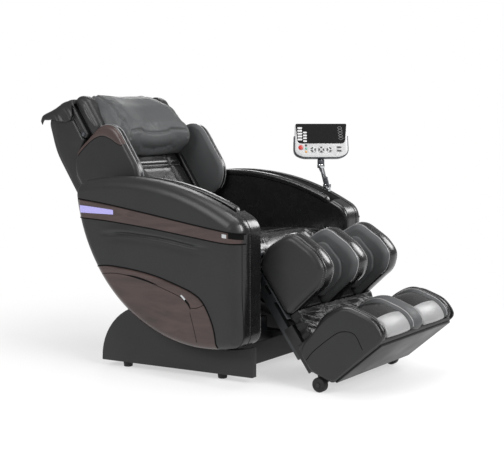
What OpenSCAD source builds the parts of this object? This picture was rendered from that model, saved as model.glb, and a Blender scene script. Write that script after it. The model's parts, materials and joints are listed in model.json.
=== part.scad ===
// Reclining massage chair: a base, a rocking seat with two arms, a backrest with a massage carriage,
// a legrest, a sliding footrest and a handset on a pole.
// Millimetres, +Z up, the chair faces -Y, the left arm is on +X, origin on the floor below the middle.

/* [Chair] */
// Width over both arms
chair_w = 790; // [770:2:820]
// Thickness of one arm
arm_t = 128; // [122:1:134]
// Gap between the arms and the backrest that swings between them
side_gap = 3.6; // [3:0.2:6]
// Gap where one piece rests on another
seat_gap = 0.3; // [0.2:0.05:0.4]
// Radial clearance of a running fit
run_gap = 0.05; // [0.02:0.01:0.08]

/* [Arms] */
// Radius of the lower edge, about the tilt axis
arm_r = 552; // [542:1:556]
// Front of the arms, from the origin
arm_front = -273; // [-280:1:-266]
// Highest point of the arms, from the origin
crest_y = 225; // [210:1:240]
// Height of the arms
crest_z = 668; // [655:1:680]
// Radius of the arms' top line
crest_r = 1000; // [940:10:1080]
// Rounding of the outer edges
arm_edge = 30; // [20:1:34]
// Width of the groove along the top
groove_w = 35; // [25:1:40]
// Depth of the groove
groove_d = 55; // [40:1:65]
// Width of the inner lip that carries the forearm pad
lip_w = 28; // [24:1:32]
// Thickness of the gloss trim let into the outer face
trim_t = 9; // [6:1:10]

/* [Tilt] */
// Tilt axis from the origin
tilt_y = -102; // [-106:1:-98]
// Tilt axis above the floor
tilt_z = 668; // [660:1:676]
// Full backward tilt of the seat
tilt_max = 12; // [8:1:12]
// Radius of the curved runners under the seat
runner_r = 470; // [464:1:474]
// Middle of a runner from the mid-plane
runner_x = 229; // [226:1:230]
// Thickness of a runner
runner_t = 10; // [8:1:12]

/* [Base] */
// Gap between the arms' lower edge and the base
saddle_gap = 14; // [10:1:18]
// Half width of the base at the front
base_front_x = 285; // [280:1:295]
// Half width of the base at the rear
base_rear_x = 364; // [358:1:380]
// Front of the base
base_front = -245; // [-255:1:-240]
// Front wall between the two front pods
base_recess = -138; // [-140:1:-132]
// Wall of the base cover
base_wall = 5; // [4:0.5:6]
// Lower edge of the base cover
base_z = 20; // [16:1:24]
// Height of a rubber foot
foot_h = 24; // [22:1:26]
// Radius of a rubber foot
foot_r = 18; // [15:1:20]

/* [Seat] */
// Front of the seat cushion
seat_front = -206; // [-208:1:-200]
// Rear of the seat cushion
seat_rear = 205; // [195:1:208]
// Underside of the seat cushion
seat_under = 396; // [396:1:400]
// Top of the seat cushion at the front
seat_top = 466; // [456:1:470]
// Crown of the seat cushion
seat_crown = 10; // [4:1:14]
// Thickness of the seat frame's side plates
plate_t = 6; // [5:0.5:6]

/* [Backrest] */
// Recline hinge from the origin
back_y = 350; // [348:1:352]
// Recline hinge above the floor
back_z = 330; // [328:1:332]
// Recline of the back from upright
recline = 35; // [30:1:40]
// Thickness of a shoulder wing
wing_t = 45; // [40:1:48]
// Front edge of the wings, from the hinge line
wing_n = 273; // [262:1:280]
// Top of the wings, along the back
wing_b = 474; // [462:1:484]
// Lower end of the wings, along the back
wing_low = 172; // [168:1:190]
// Rear face of the shell behind the hinge line
shell_rear = 50; // [46:1:54]
// Wall of the shell
shell_wall = 8; // [7:0.5:9]
// Top of the shell, along the back
shell_top = 655; // [650:1:660]
// Front of the back pad
pad_n = 148; // [144:1:152]
// Thickness of the back pad
pad_t = 43; // [36:1:43]

/* [Massage drive] */
// Rest height of the carriage along the back
carriage_b = 330; // [300:1:360]
// Radius of a guide rod
rod_r = 7; // [6:0.5:8]
// Guide rods from the mid-plane
rod_x = 120; // [112:1:126]
// Radius of the lead screw
screw_r = 7; // [6:0.5:8]
// Radius of a kneading roller
roller_r = 24; // [20:1:25]

/* [Legs] */
// Knee hinge from the origin
knee_y = -240; // [-242:1:-238]
// Knee hinge above the floor
knee_z = 425; // [423:1:427]
// Lift of the legrest from hanging straight down
leg_lift = 36.6; // [34:0.1:38]
// Width of an outer calf wall
calf_outer_w = 85; // [78:1:90]
// Width of the middle calf wall
calf_middle_w = 90; // [80:1:100]
// Length of the calf walls
calf_len = 228; // [220:1:230]
// Height of the calf walls in front of the hinge line
calf_m = 182; // [170:1:190]
// Thickness of a calf airbag
airbag_t = 14; // [10:1:16]
// Start of the footrest along the leg
foot_d = 322; // [320:1:326]
// Sole of the footrest along the leg
sole_d = 486; // [480:1:492]
// Toe of the footrest in front of the hinge line
toe_m = 234; // [226:1:242]
// Width of an outer foot wall
foot_outer_w = 55; // [48:1:60]
// Width of the middle foot wall
foot_middle_w = 94; // [86:1:100]
// Rise of the padded foot walls above the shell
wall_rise = 34; // [20:1:38]
// Wall of the foot shell
foot_wall = 5; // [4:0.5:6]
// Radius of a footrest wheel
wheel_r = 24; // [22:0.5:25]

/* [Handset] */
// Handset pole from the mid-plane
pole_x = 352; // [346:1:356]
// Foot of the handset pole from the origin
pole_y = -135; // [-145:1:-125]
// Length of the pole
pole_len = 96; // [88:1:110]
// Radius of the pole
pole_r = 8; // [6:0.5:9]
// Width of the handset
remote_w = 200; // [190:1:210]
// Height of the handset
remote_h = 126; // [120:1:132]
// Thickness of the handset
remote_t = 22; // [20:1:26]
// Turn of the handset towards the right front
remote_yaw = 50; // [35:1:60]
// Lean of the handset's top away from its face
remote_tilt = 12; // [5:1:18]
// Travel of a key
key_travel = 1; // [0.6:0.1:1.4]
// Diameter of the handset lead
lead_d = 4; // [3:0.5:4.5]
// Curls in the handset lead
lead_curls = 6; // [4:1:6]

/* [Hidden] */
$fn = 48;

casing_colour = "#3a3a3a";
leather_colour = "#1c1c1d";
brown_colour = "#544645";
steel_colour = "#2f3133";
grey_leather = "#8a8a8a";

// Layers outwards from the mid-plane
arm_out = chair_w / 2;
arm_in = arm_out - arm_t;
plate_out = arm_in - 2.5;
plate_in = plate_out - plate_t;
wing_out = arm_in - side_gap;
wing_in = wing_out - wing_t;
shell_x = wing_in - seat_gap;
leg_x = plate_in - 2.5;
foot_x = leg_x - 1;

tilt_c = [tilt_y, tilt_z];
crest_c = [crest_y, crest_z - crest_r];

function unit(v) = v / norm(v);
function polar(c, r, a) = c + r * [cos(a), sin(a)];
function heading(c, p) = atan2(p[1] - c[1], p[0] - c[0]);
// Points of an arc, with its first point left out where a line or an arc already ends there
function arc(c, r, a0, a1, n, from = 0) = [for (i = [from:n]) polar(c, r, a0 + (a1 - a0) * i / n)];
// Where two circles meet, on the left or right of the line between their centres
function meet(c1, r1, c2, r2, side) =
  let(
    span = norm(c2 - c1),
    u = (c2 - c1) / span,
    a = (r1 * r1 - r2 * r2 + span * span) / (2 * span),
    h = sqrt(max(0, r1 * r1 - a * a))
  ) c1 + a * u + side * h * [-u[1], u[0]];
// One rounded corner q = [u, v, radius] between p and s, moved inwards by inset
function corner(p, q, s, inset, n) =
  let(
    b = [q[0], q[1]],
    e1 = unit(b - [p[0], p[1]]),
    e2 = unit([s[0], s[1]] - b),
    n1 = [e1[1], -e1[0]],
    n2 = [e2[1], -e2[0]],
    turn = atan2(cross(e1, e2), e1 * e2),
    r = sign(turn) * q[2],
    centre = b - (n1 + n2) * r / (1 + n1 * n2)
  ) [for (k = [0:n]) polar(centre, r - inset, heading([0, 0], n1) + turn * k / n)];
// Closed outline through rounded corners, anticlockwise
function outline(pts, inset = 0, n = 4) =
  let(m = len(pts))
  [for (i = [0:m - 1]) each corner(pts[(i + m - 1) % m], pts[i], pts[(i + 1) % m], inset, n)];

// Stations across a padded piece: place and inset, rounded at both ends
function stations(x0, x1, e0, e1, mid = 1, n = 3) = concat(
  [for (k = [0:n]) [x0 + e0 * (1 - cos(90 * k / n)), e0 * (1 - sin(90 * k / n))]],
  [for (k = [1:1:mid - 1]) [x0 + e0 + (x1 - x0 - e0 - e1) * k / mid, 0]],
  [for (k = [n:-1:0]) [x1 - e1 * (1 - cos(90 * k / n)), e1 * (1 - sin(90 * k / n))]]
);
function ring_at(pts, x) = [for (p = pts) [x, p[0], p[1]]];

// Closed skin over equal rings of points
module skin(rings) {
  n = len(rings[0]);
  k = len(rings);
  walls = [
    for (j = [0:k - 2], i = [0:n - 1])
      let(a = j * n + i, b = j * n + (i + 1) % n)
      each [[a, a + n, b], [b, a + n, b + n]]
  ];
  polyhedron(
    points = [for (r = rings) each r],
    faces = concat([[for (i = [0:n - 1]) i]], walls, [[for (i = [n - 1:-1:0]) (k - 1) * n + i]]),
    convexity = 8
  );
}
// Slab across the chair whose outline is a function of the inset, with rounded edges
module slab(shape, x0, x1, e0, e1) {
  skin([for (s = stations(x0, x1, e0, e1)) ring_at(shape(s[1]), s[0])]);
}
// Side profile in (Y, Z), extruded across the chair
module across(x0, x1) {
  translate([x0, 0, 0])
    rotate([90, 0, 90])
      linear_extrude(x1 - x0)
        children();
}
module block(x, y, z) {
  translate([x[0], y[0], z[0]])
    cube([x[1] - x[0], y[1] - y[0], z[1] - z[0]]);
}
// Round bar along X
module bar_x(x0, x1, y, z, r) {
  translate([x0, y, z])
    rotate([0, 90, 0])
      cylinder(h = x1 - x0, r = r);
}
// Round bar along Y
module bar_y(y0, y1, x, z, r) {
  translate([x, y1, z])
    rotate([90, 0, 0])
      cylinder(h = y1 - y0, r = r);
}
// The origin lies below the middle of the chair's length in the posture drawn
middle = [20.4, 42.9];
module placed() {
  translate([-middle[0], -middle[1], 0])
    children();
}
module both() {
  children();
  mirror([1, 0, 0])
    children();
}
// Local frames: upright back, hanging leg, handset face to -Y
module in_back() {
  translate([0, back_y, back_z])
    rotate([-recline, 0, 0])
      children();
}
module in_leg() {
  translate([0, knee_y, knee_z])
    rotate([-leg_lift, 0, 0])
      children();
}

// Arms
rear_round = 55;
front_round = 60;
lower_round = 45;
function arm_shape(inset) =
  let(
    low_r = arm_r - inset,
    top_r = crest_r - inset,
    rear_c = meet(tilt_c, arm_r - rear_round, crest_c, crest_r - rear_round, 1),
    top_y = arm_front + front_round,
    top_c = [top_y, crest_c[1] + sqrt(pow(crest_r - front_round, 2) - pow(top_y - crest_y, 2))],
    low_y = arm_front + lower_round,
    low_c = [low_y, tilt_z - sqrt(pow(arm_r - lower_round, 2) - pow(low_y - tilt_y, 2))],
    a_low = heading(tilt_c, low_c) + 360,
    a_rear = heading(tilt_c, rear_c) + 360,
    a_crest = heading(crest_c, rear_c) + 360,
    a_top = heading(crest_c, top_c) + 360
  )
  concat(
    arc(low_c, lower_round - inset, 180, a_low, 4),
    arc(tilt_c, low_r, a_low, a_rear, 16, 1),
    arc(rear_c, rear_round - inset, a_rear, a_crest, 5, 1),
    arc(crest_c, top_r, a_crest, a_top, 9, 1),
    arc(top_c, front_round - inset, a_top, 540, 5, 1)
  );
arm_block_edge = 14;
groove_in = arm_in + lip_w;
groove_y = [-205, 330];
module arm_block() {
  slab(function(inset) arm_shape(inset), arm_in, arm_out, arm_block_edge, arm_edge);
}
// What lies above the arm's outline moved inwards by depth
module above_arm(depth) {
  difference() {
    translate([groove_y[0], 450])
      square([groove_y[1] - groove_y[0], 300]);
    polygon(arm_shape(depth));
  }
}
band_pts = [[-300, 467, 4], [100, 506, 1400], [440, 516, 4], [440, 588, 4], [40, 542, 1800], [-300, 500, 4]];
lens_pts = [[256, 541, 4], [440, 540, 4], [440, 568, 4], [256, 558, 4]];
panel_pts = [
  [-172, 100, 6], [360, 100, 6], [360, 362, 6], [215, 368, 300], [-70, 322, 200], [-144, 262, 60]
];
module trim_zone(pts, grow) {
  across(arm_out - trim_t - grow, arm_out + 20)
    polygon(outline(pts, -grow, 6));
}
module left_arm() {
  difference() {
    arm_block();
    across(groove_in, groove_in + groove_w)
      above_arm(groove_d);
    across(arm_in - 5, groove_in + 1)
      above_arm(pad_seat);
    trim_zone(band_pts, seat_gap);
    trim_zone(panel_pts, seat_gap);
  }
}
module arm_left() {
  placed() color(casing_colour)
    left_arm();
}
module arm_right() {
  placed() color(casing_colour)
    mirror([1, 0, 0])
      left_arm();
}
module arm_bands() {
  placed() color(brown_colour)
    both()
      difference() {
        intersection() {
          arm_block();
          trim_zone(band_pts, 0);
        }
        trim_zone(lens_pts, seat_gap);
      }
}
module light_lenses() {
  placed() color("#a9a4e8")
    both()
      intersection() {
        arm_block();
        trim_zone(lens_pts, 0);
      }
}
module side_panels() {
  placed() color(brown_colour)
    both()
      intersection() {
        arm_block();
        trim_zone(panel_pts, 0);
      }
}
// Forearm pads on the inner lips
pad_seat = 24;
forearm_round = 8;
module forearm_pads() {
  a0 = acos((groove_y[0] + 4 - crest_y) / crest_r);
  a1 = acos((groove_y[1] - 4 - crest_y) / crest_r);
  half_w = lip_w / 2 - 0.6;
  half_h = pad_seat / 2 - 1;
  section = outline([
    [-half_w, -half_h, forearm_round],
    [half_w, -half_h, forearm_round],
    [half_w, half_h, forearm_round],
    [-half_w, half_h, forearm_round]
  ], 0, 2);
  steps = 14;
  middle_r = crest_r - pad_seat + half_h + seat_gap;
  placed() color(leather_colour)
    both()
      skin([
        for (i = [0:steps])
          let(
            a = a0 + (a1 - a0) * i / steps,
            shrink = i == 0 || i == steps ? 0.55 : i == 1 || i == steps - 1 ? 0.92 : 1
          )
          [
            for (p = section)
              let(q = polar(crest_c, middle_r - half_h + (p[1] * shrink + half_h * shrink), a))
              [arm_in + lip_w / 2 - p[0] * shrink, q[0], q[1]]
          ]
      ]);
}

// Base
rear_arc_c = [150, 30];
rear_arc_r = 198;
well_z = 96;
well_x = runner_x + 17;
base_rear = rear_arc_c[0] + rear_arc_r;
rail_in = runner_x - 20;
rail_out = runner_x + 16;
rail_z = [30, 70];
feet_at = [[270, -112], [324, 262]];
function base_profile(wall) =
  let(
    saddle_r = arm_r + saddle_gap + wall,
    rear_r = rear_arc_r - wall,
    front = base_front + wall,
    low = wall > 0 ? base_z - 10 : base_z,
    m = meet(tilt_c, saddle_r, rear_arc_c, rear_r, 1)
  )
  concat(
    [[front, low], [rear_arc_c[0] + rear_r, low]],
    arc(rear_arc_c, rear_r, 0, heading(rear_arc_c, m), 10),
    arc(tilt_c, saddle_r, heading(tilt_c, m), -90 - asin((tilt_y - front) / saddle_r), 14, 1)
  );
// Plan of the base cover: two front pods and a wider rear
module base_plan(wall) {
  pod = leg_x + 6 + wall;
  half = [
    [pod, base_recess + wall],
    [pod, base_front + wall],
    [base_front_x - wall, base_front + wall],
    [base_rear_x - wall, base_rear - wall]
  ];
  polygon(concat(half, [for (i = [3:-1:0]) [-half[i][0], half[i][1]]]));
}
module base_solid(wall) {
  intersection() {
    across(-500, 500)
      polygon(base_profile(wall));
    linear_extrude(500)
      base_plan(wall);
  }
}
inlet_x = 150;
inlet_z = 60;
module base_cover() {
  placed() color(casing_colour)
    difference() {
      base_solid(0);
      base_solid(base_wall);
      block([-well_x, well_x], [-400, 400], [well_z, 600]);
      inlet_body(seat_gap, base_rear + 5);
    }
}
module base_feet() {
  placed() color("#151515")
    both()
      for (p = feet_at)
        translate([p[0], p[1], 0])
          cylinder(h = foot_h, r1 = foot_r - 3, r2 = foot_r);
}
guide_angles = [-1.5, 26];
guide_span = 2;
guide_in = runner_r - 18;
guide_out = runner_r + 22;
module runner_sector(a, r0, r1) {
  difference() {
    polygon(concat(
      [tilt_c],
      [for (s = [-guide_span, guide_span]) polar(tilt_c, r1 + 60, -90 + a + s)]
    ));
    circle_at(tilt_c, r0);
    difference() {
      circle_at(tilt_c, r1 + 200);
      circle_at(tilt_c, r1);
    }
  }
}
module circle_at(c, r) {
  translate(c)
    circle(r = r, $fn = 96);
}
module runner_guides() {
  half = runner_t / 2 + seat_gap;
  placed() color("#d8d5c8")
    both()
      for (a = guide_angles)
        difference() {
          across(runner_x - 15, runner_x + 15)
            runner_sector(a, guide_in, guide_out);
          across(runner_x - half, runner_x + half)
            circle_at(tilt_c, runner_r + seat_gap);
        }
}
tilt_drive_r = 455;
tilt_drive_z = tilt_z - tilt_drive_r * cos(tilt_max / 2);
tilt_drive_y = tilt_y + tilt_drive_r * sin(tilt_max / 2);
tilt_motor_y = [170, 220];
tilt_motor_h = 35;
module base_frame() {
  frame_y = [base_recess + base_wall, base_rear - base_wall - 4.6];
  placed() color(steel_colour) {
    both() {
      block([rail_in, rail_out], frame_y, rail_z);
      for (a = guide_angles) {
        y = polar(tilt_c, guide_out, -90 + a)[0];
        across(runner_x - 15, runner_x + 15)
          difference() {
            translate([y - 16, rail_z[1] - 1])
              square([32, 220]);
            circle_at(tilt_c, guide_out);
          }
      }
      for (p = feet_at)
        block([rail_in, p[0] + foot_r], [p[1] - foot_r, p[1] + foot_r], [foot_h, rail_z[0] + 4]);
    }
    for (y = [frame_y[0], 20, tilt_motor_y[0], 240])
      block([-rail_in - 1, rail_in + 1], [y, y + 40], rail_z);
    block([-25, 25], tilt_motor_y, [rail_z[0], tilt_drive_z - tilt_motor_h]);
  }
}
module air_pump() {
  placed() color("#3c4046")
    difference() {
      block([-150, -20], [10, 110], [rail_z[1], 148]);
      for (x = [-130:20:-40])
        block([x, x + 8], [5, 115], [140, 150]);
    }
}
module control_box() {
  placed() color("#26292d") {
    block([20, 170], [10, 130], [rail_z[1], 132]);
    for (y = [22:14:112])
      block([26, 164], [y, y + 5], [131, 140]);
  }
}
inlet_w = 62;
inlet_h = 36;
module inlet_body(grow, rear) {
  block(
    [inlet_x - inlet_w / 2 - grow, inlet_x + inlet_w / 2 + grow],
    [base_rear - 28, rear],
    [inlet_z - inlet_h / 2 - grow, inlet_z + inlet_h / 2 + grow]
  );
}
switch_x = inlet_x + 16;
switch_pin = 1.5;
module power_inlet() {
  face = base_rear + 3;
  placed() color("#18191a")
    difference() {
      union() {
        inlet_body(0, face);
        block([inlet_x - 37, inlet_x + 37], [base_rear, face], [inlet_z - 23, inlet_z + 23]);
      }
      block([inlet_x - 26, inlet_x], [face - 16, face + 1], [inlet_z - 12, inlet_z + 12]);
      block([switch_x - 8, switch_x + 8], [face - 12, face + 1], [inlet_z - 14, inlet_z + 14]);
      bar_x(switch_x - 11, switch_x + 11, face - 3, inlet_z, switch_pin + run_gap);
    }
}
module power_switch() {
  pin_y = base_rear;
  placed() color("#a02622") {
    across(switch_x - 7.4, switch_x + 7.4)
      translate([pin_y, inlet_z])
        polygon([[-5, -9], [3.5, -11.5], [4.5, -11.5], [3, 0], [4.5, 11.5], [3.5, 11.5], [-5, 9]]);
    bar_x(switch_x - 10.7, switch_x + 10.7, pin_y, inlet_z, switch_pin);
  }
}

// Linear drives: a motor with a tube and a push rod whose slotted end moves a crank pin
drive_rod_r = 9;
drive_tube_r = 17;
drive_pin_r = 6;
drive_plate = 10;
drive_wall = 10;
module drive_motor(x, z, tube_y, box_y, box_z) {
  y0 = min(tube_y[0], box_y[0]);
  deep = tube_y[0] < box_y[0] ? box_y[0] + 12 : tube_y[0];
  bore = tube_y[0] < box_y[0] ? [tube_y[0] - 1, deep] : [box_y[1] - 12, tube_y[1] + 1];
  placed() color("#4a4d52")
    difference() {
      union() {
        bar_y(tube_y[0], tube_y[1], x, z, drive_tube_r);
        block([x - 25, x + 25], box_y, box_z);
      }
      bar_y(bore[0], bore[1], x, z, drive_rod_r + run_gap);
    }
}
// Slotted push rod from its far end to the plate round a pin at y, with a slot over the pin's heights
module drive_rod(x, y, z, far, pin_z, slack) {
  half_w = drive_pin_r + slack;
  near = y + sign(far - y) * (half_w + drive_wall - 0.8);
  half_h = (pin_z[1] - pin_z[0]) / 2 + drive_pin_r + 1.5;
  pin_mid = (pin_z[0] + pin_z[1]) / 2;
  placed() color("#b9bcc0") {
    bar_y(min(far, near), max(far, near), x, z, drive_rod_r);
    across(x - drive_plate / 2, x + drive_plate / 2)
      difference() {
        translate([y - half_w - drive_wall, pin_mid - half_h - drive_wall])
          square([2 * (half_w + drive_wall), 2 * (half_h + drive_wall)]);
        translate([y - half_w, pin_mid - half_h])
          square([2 * half_w, 2 * half_h]);
      }
  }
}
module tilt_motor() {
  drive_motor(
    0, tilt_drive_z, [5, tilt_motor_y[0] + 1], tilt_motor_y,
    [tilt_drive_z - tilt_motor_h, tilt_drive_z + tilt_motor_h]
  );
}
tilt_slack = 1.6;
module tilt_rod() {
  drop = tilt_drive_r * (1 - cos(tilt_max / 2));
  drive_rod(
    0, tilt_drive_y, tilt_drive_z, 150,
    [tilt_drive_z - drop, tilt_drive_z], tilt_slack
  );
}

// Recline drive: crank hanging down from the hinge at mid travel
recline_x = 60;
recline_range = [-17, 45];
recline_crank = 100;
recline_mid = (recline_range[0] + recline_range[1]) / 2;
recline_half = (recline_range[1] - recline_range[0]) / 2;
recline_pin = [back_y + recline_crank * sin(recline_mid), back_z - recline_crank * cos(recline_mid)];
recline_pin_z = [back_z - recline_crank, back_z - recline_crank * cos(recline_half)];
recline_rod_z = (recline_pin_z[0] + recline_pin_z[1]) / 2;
rear_tube = [40, 70];
rear_tube_z = [272, 302];
drive_slack = 3.6;
module recline_motor() {
  drive_motor(recline_x, recline_rod_z, [79, 268], [30, 80], [205, rear_tube_z[0]]);
}
module recline_rod() {
  drive_rod(
    recline_x, recline_pin[0], recline_rod_z, 160,
    recline_pin_z, 2.8
  );
}

// Leg drive: crank hanging down from the knee hinge at mid travel
leg_x_drive = -60;
leg_range = [-36.6, 50];
leg_crank = 95;
leg_mid = (leg_range[0] + leg_range[1]) / 2;
leg_half = (leg_range[1] - leg_range[0]) / 2;
leg_pin = [knee_y + leg_crank * sin(leg_mid), knee_z - leg_crank * cos(leg_mid)];
leg_pin_z = [knee_z - leg_crank, knee_z - leg_crank * cos(leg_half)];
leg_rod_z = (leg_pin_z[0] + leg_pin_z[1]) / 2;
module leg_motor() {
  drive_motor(leg_x_drive, leg_rod_z, [-142, 37], [36, 90], [rear_tube_z[1], seat_under - 8]);
}
module leg_rod() {
  drive_rod(
    leg_x_drive, leg_pin[0], leg_rod_z, -15,
    leg_pin_z, drive_slack
  );
}

// Seat frame: side plates, cross tubes, curved runners, hinge pins and the tilt crank
front_tube = [-180, -150];
front_tube_z = [376, seat_under];
tilt_tube = [-75, -45];
tilt_tube_z = [285, 315];
back_pin_r = 10;
knee_pin_r = 9;
module seat_frame() {
  placed() color(steel_colour) {
    both() {
      across(plate_in, plate_out)
        polygon([
          [knee_y - 16, knee_z - 12], [knee_y + 20, 360], [-60, 285], [200, 268], [back_y, back_z - 24],
          [back_y + 24, back_z], [back_y, back_z + 24], [250, 340], [180, 392], [-150, 395],
          [knee_y + 10, knee_z + 16], [knee_y - 14, knee_z + 12]
        ]);
      for (p = [[-120, 375], [-60, 320], [150, 300], [150, 370]])
        bar_x(plate_out - 1, arm_in, p[0], p[1], 12);
      bar_x(190, plate_in + 1, back_y, back_z, back_pin_r);
      bar_x(leg_x - 28, plate_in + 1, knee_y, knee_z, knee_pin_r);
      across(runner_x - runner_t / 2, runner_x + runner_t / 2)
        difference() {
          intersection() {
            circle_at(tilt_c, runner_r);
            polygon([
              tilt_c, polar(tilt_c, 700, -95), polar(tilt_c, 700, -90 + tilt_max + 17),
              polar(tilt_c, 700, -90 + tilt_max + 29)
            ]);
            translate([-300, 0])
              square([700, 330]);
          }
          circle_at([20, 262], 26);
          circle_at([110, 292], 20);
        }
    }
    block([-plate_in - 1, plate_in + 1], front_tube, front_tube_z);
    block([-plate_in - 1, plate_in + 1], tilt_tube, tilt_tube_z);
    block([-plate_in - 1, plate_in + 1], rear_tube, rear_tube_z);
    both()
      across(drive_plate / 2 + 1, drive_plate / 2 + 7)
        polygon([
          [tilt_drive_y - 8, tilt_drive_z - 9], [tilt_drive_y + 8, tilt_drive_z - 9],
          [tilt_tube[1], tilt_tube_z[0] + 1], [tilt_tube[0], tilt_tube_z[0] + 1]
        ]);
    bar_x(-drive_plate / 2 - 6, drive_plate / 2 + 6, tilt_drive_y, tilt_drive_z, drive_pin_r);
  }
}
seat_pts = [
  [seat_front, seat_under + seat_gap, 26], [seat_rear, seat_under + seat_gap, 24],
  [seat_rear, seat_top - 26, 24], [seat_front, seat_top, 32]
];
function seat_shape(inset, rise) = [
  for (p = outline(seat_pts, inset, 4))
    let(top = max(0, (p[1] - seat_under - 20) / (seat_top - seat_under - 20)))
    [p[0], p[1] + rise * top]
];
module seat_cushion() {
  half = plate_in - 2;
  placed() color(leather_colour)
    skin([
      for (s = stations(-half, half, 22, 22, 8))
        ring_at(seat_shape(s[1], seat_crown * (1 - pow(s[0] / half, 2))), s[0])
    ]);
}

// Backrest: local Y is minus the distance in front of the hinge line, local Z runs up the back
shell_pts = [
  [-8.7, 26, 22], [shell_rear, 26, 24], [shell_rear, 530, 260], [shell_rear - 40, shell_top, 44],
  [-60, shell_top, 22], [-60, 510, 22], [-8.7, 478, 22]
];
shell_edge = 20;
flank_x = wing_in + 22;
module back_shell() {
  inner = flank_x - shell_wall;
  placed() color(casing_colour)
    in_back()
      difference() {
        slab(function(inset) outline(shell_pts, inset, 4), -flank_x, flank_x, shell_edge, shell_edge);
        across(-inner, inner) {
          polygon(outline(shell_pts, shell_wall, 4));
          translate([-100, 0])
            square([100 + shell_rear - shell_wall, 200]);
          translate([-100, 0])
            square([101, shell_top - shell_wall]);
        }
      }
}
pad_low = 60;
pad_top = 638;
pad_side = 31;
skirt_n = 16.3;
// Back pad: thin over the massage drive, with deep sides that reach back to the frame
function pad_shape(inset, bulge, rear) = [
  for (p = outline([
    [-pad_n, pad_low, 20], [-rear, pad_low, 18], [-rear, pad_top, 18], [-pad_n, pad_top, 20]
  ], inset, 4))
    let(front = max(0, (-p[0] - pad_n + 20) / 20), along = (p[1] - pad_low) / (pad_top - pad_low))
    [p[0] + bulge * front * sin(180 * along), p[1]]
];
module back_pad() {
  half = shell_x;
  inner = half - pad_side;
  ends = stations(0, pad_side, 14, 0.01, 1, 3);
  left = [for (k = [0:3]) [-half + ends[k][0], ends[k][1], skirt_n]];
  middle_x = [for (k = [-4:4]) [inner * k / 4.02, 0, pad_n - pad_t]];
  places = concat(
    left, [[-inner - 2, 0, skirt_n]], middle_x, [[inner + 2, 0, skirt_n]],
    [for (k = [3:-1:0]) [-left[k][0], left[k][1], skirt_n]]
  );
  placed() color(leather_colour)
    in_back()
      skin([
        for (s = places)
          ring_at(pad_shape(s[1], 6 * (1 - pow(s[0] / half, 2)), s[2]), s[0])
      ]);
}
wing_edge = 18;
wing_pts = [[-wing_n, wing_low, 46], [-9, wing_low, 36], [-9, wing_b - 16, 86], [-wing_n, wing_b, 70]];
function wing_shape(inset) = outline(wing_pts, inset, 6);
wing_trim_w = 24;
module wing_block() {
  slab(function(inset) wing_shape(inset), wing_in, wing_out, wing_edge, wing_edge);
}
module wing_trim_zone(grow) {
  across(wing_out - trim_t - grow, wing_out + 10)
    difference() {
      translate([-wing_n - 20, 372 - grow])
        square([wing_n - 20 + grow, 200]);
      polygon(wing_shape(wing_trim_w + grow));
    }
}
module wings() {
  placed() color(leather_colour)
    in_back()
      both()
        difference() {
          wing_block();
          wing_trim_zone(seat_gap);
        }
}
module wing_trims() {
  placed() color("#5c5252")
    in_back()
      both()
        intersection() {
          wing_block();
          wing_trim_zone(0);
        }
}
// Head pillow: a wedge, thick below, with a hollow for the head in its middle
pillow_half = 200;
pillow_b = [376, 673];
pillow_n = 110;
function pillow_shape(inset, fill) =
  let(rear = -pad_n - 0.4)
  outline([
    [rear - (pillow_n - 6) * fill, pillow_b[0] + 10, 34], [rear, pillow_b[0], 16],
    [rear, pillow_b[1], 10], [rear - pillow_n * fill, pillow_b[0] + 92, 60]
  ], inset, 4);
module head_pillow() {
  placed() color("#6e6e6e")
    in_back()
      skin([
        for (s = stations(-pillow_half, pillow_half, 8, 8, 10))
          let(t = abs(s[0]) / pillow_half)
          ring_at(pillow_shape(s[1], 0.9 - 0.1 * cos(200 * t) - 0.22 * pow(t, 12)), s[0])
      ]);
}
// Leather cover folded over the top, hanging free behind
cover_half = 205;
cover_t = 7;
function cover_line(droop) = [
  [-134, pad_top + 0.5], [-116, pad_top + 0.5], [-98, shell_top + 1.5], [-60, shell_top + 2.6 + droop / 3],
  [-20, shell_top + 10 + droop * 2 / 3], [22, shell_top + 26 + droop], [44, shell_top + 24 + droop]
];
module head_cover() {
  placed() color(leather_colour)
    in_back()
      skin([
        for (i = [0:12])
          let(
            x = -cover_half + 2 * cover_half * i / 12,
            line = cover_line(6 * cos(60 * i)),
            n = len(line) - 1
          )
          ring_at(concat(line, [for (k = [n:-1:0]) line[k] + [k == 0 ? -cover_t : 0, cover_t]]), x)
      ]);
}

// Back frame with guide rods, hinge tube and recline crank
plate_low = 70;
plate_high = 560;
screw_n = 30;
rod_n = 36;
crank_local = recline_crank * [sin(recline_mid + recline), -cos(recline_mid + recline)];
module back_frame() {
  hinge_r = 17;
  tube_in = shell_x - shell_wall - 26;
  tube_out = tube_in + 25;
  tube_y = [-16, shell_rear - shell_wall - seat_gap];
  placed() color(steel_colour)
    in_back()
      difference() {
        union() {
          both() {
            block([tube_in, tube_out], tube_y, [0, 460]);
            block([tube_in, tube_out], [tube_y[0], 8], [459, plate_high]);
            bar_x(189, plate_in - 4, 0, 0, hinge_r);
            translate([rod_x, -rod_n, plate_low])
              cylinder(h = plate_high + 8 - plate_low, r = rod_r);
          }
          bar_x(-190, 190, 0, 0, 14);
          block([-tube_in - 1, tube_in + 1], [-60, 10], [plate_low, plate_low + 8]);
          block([-tube_in - 1, tube_in + 1], [-60, 8], [plate_high, plate_high + 8]);
          for (s = [-1, 1])
            across(recline_x + s * 9 - 3, recline_x + s * 9 + 3)
              crank_plate([0, 0], 14, crank_local, 12);
          bar_x(recline_x - 11, recline_x + 11, crank_local[0], crank_local[1], drive_pin_r);
        }
        both()
          bar_x(188, plate_in, 0, 0, back_pin_r + run_gap);
        translate([0, -screw_n, plate_high - 1])
          cylinder(h = 20, r = screw_r - 2 + run_gap);
      }
}
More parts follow.
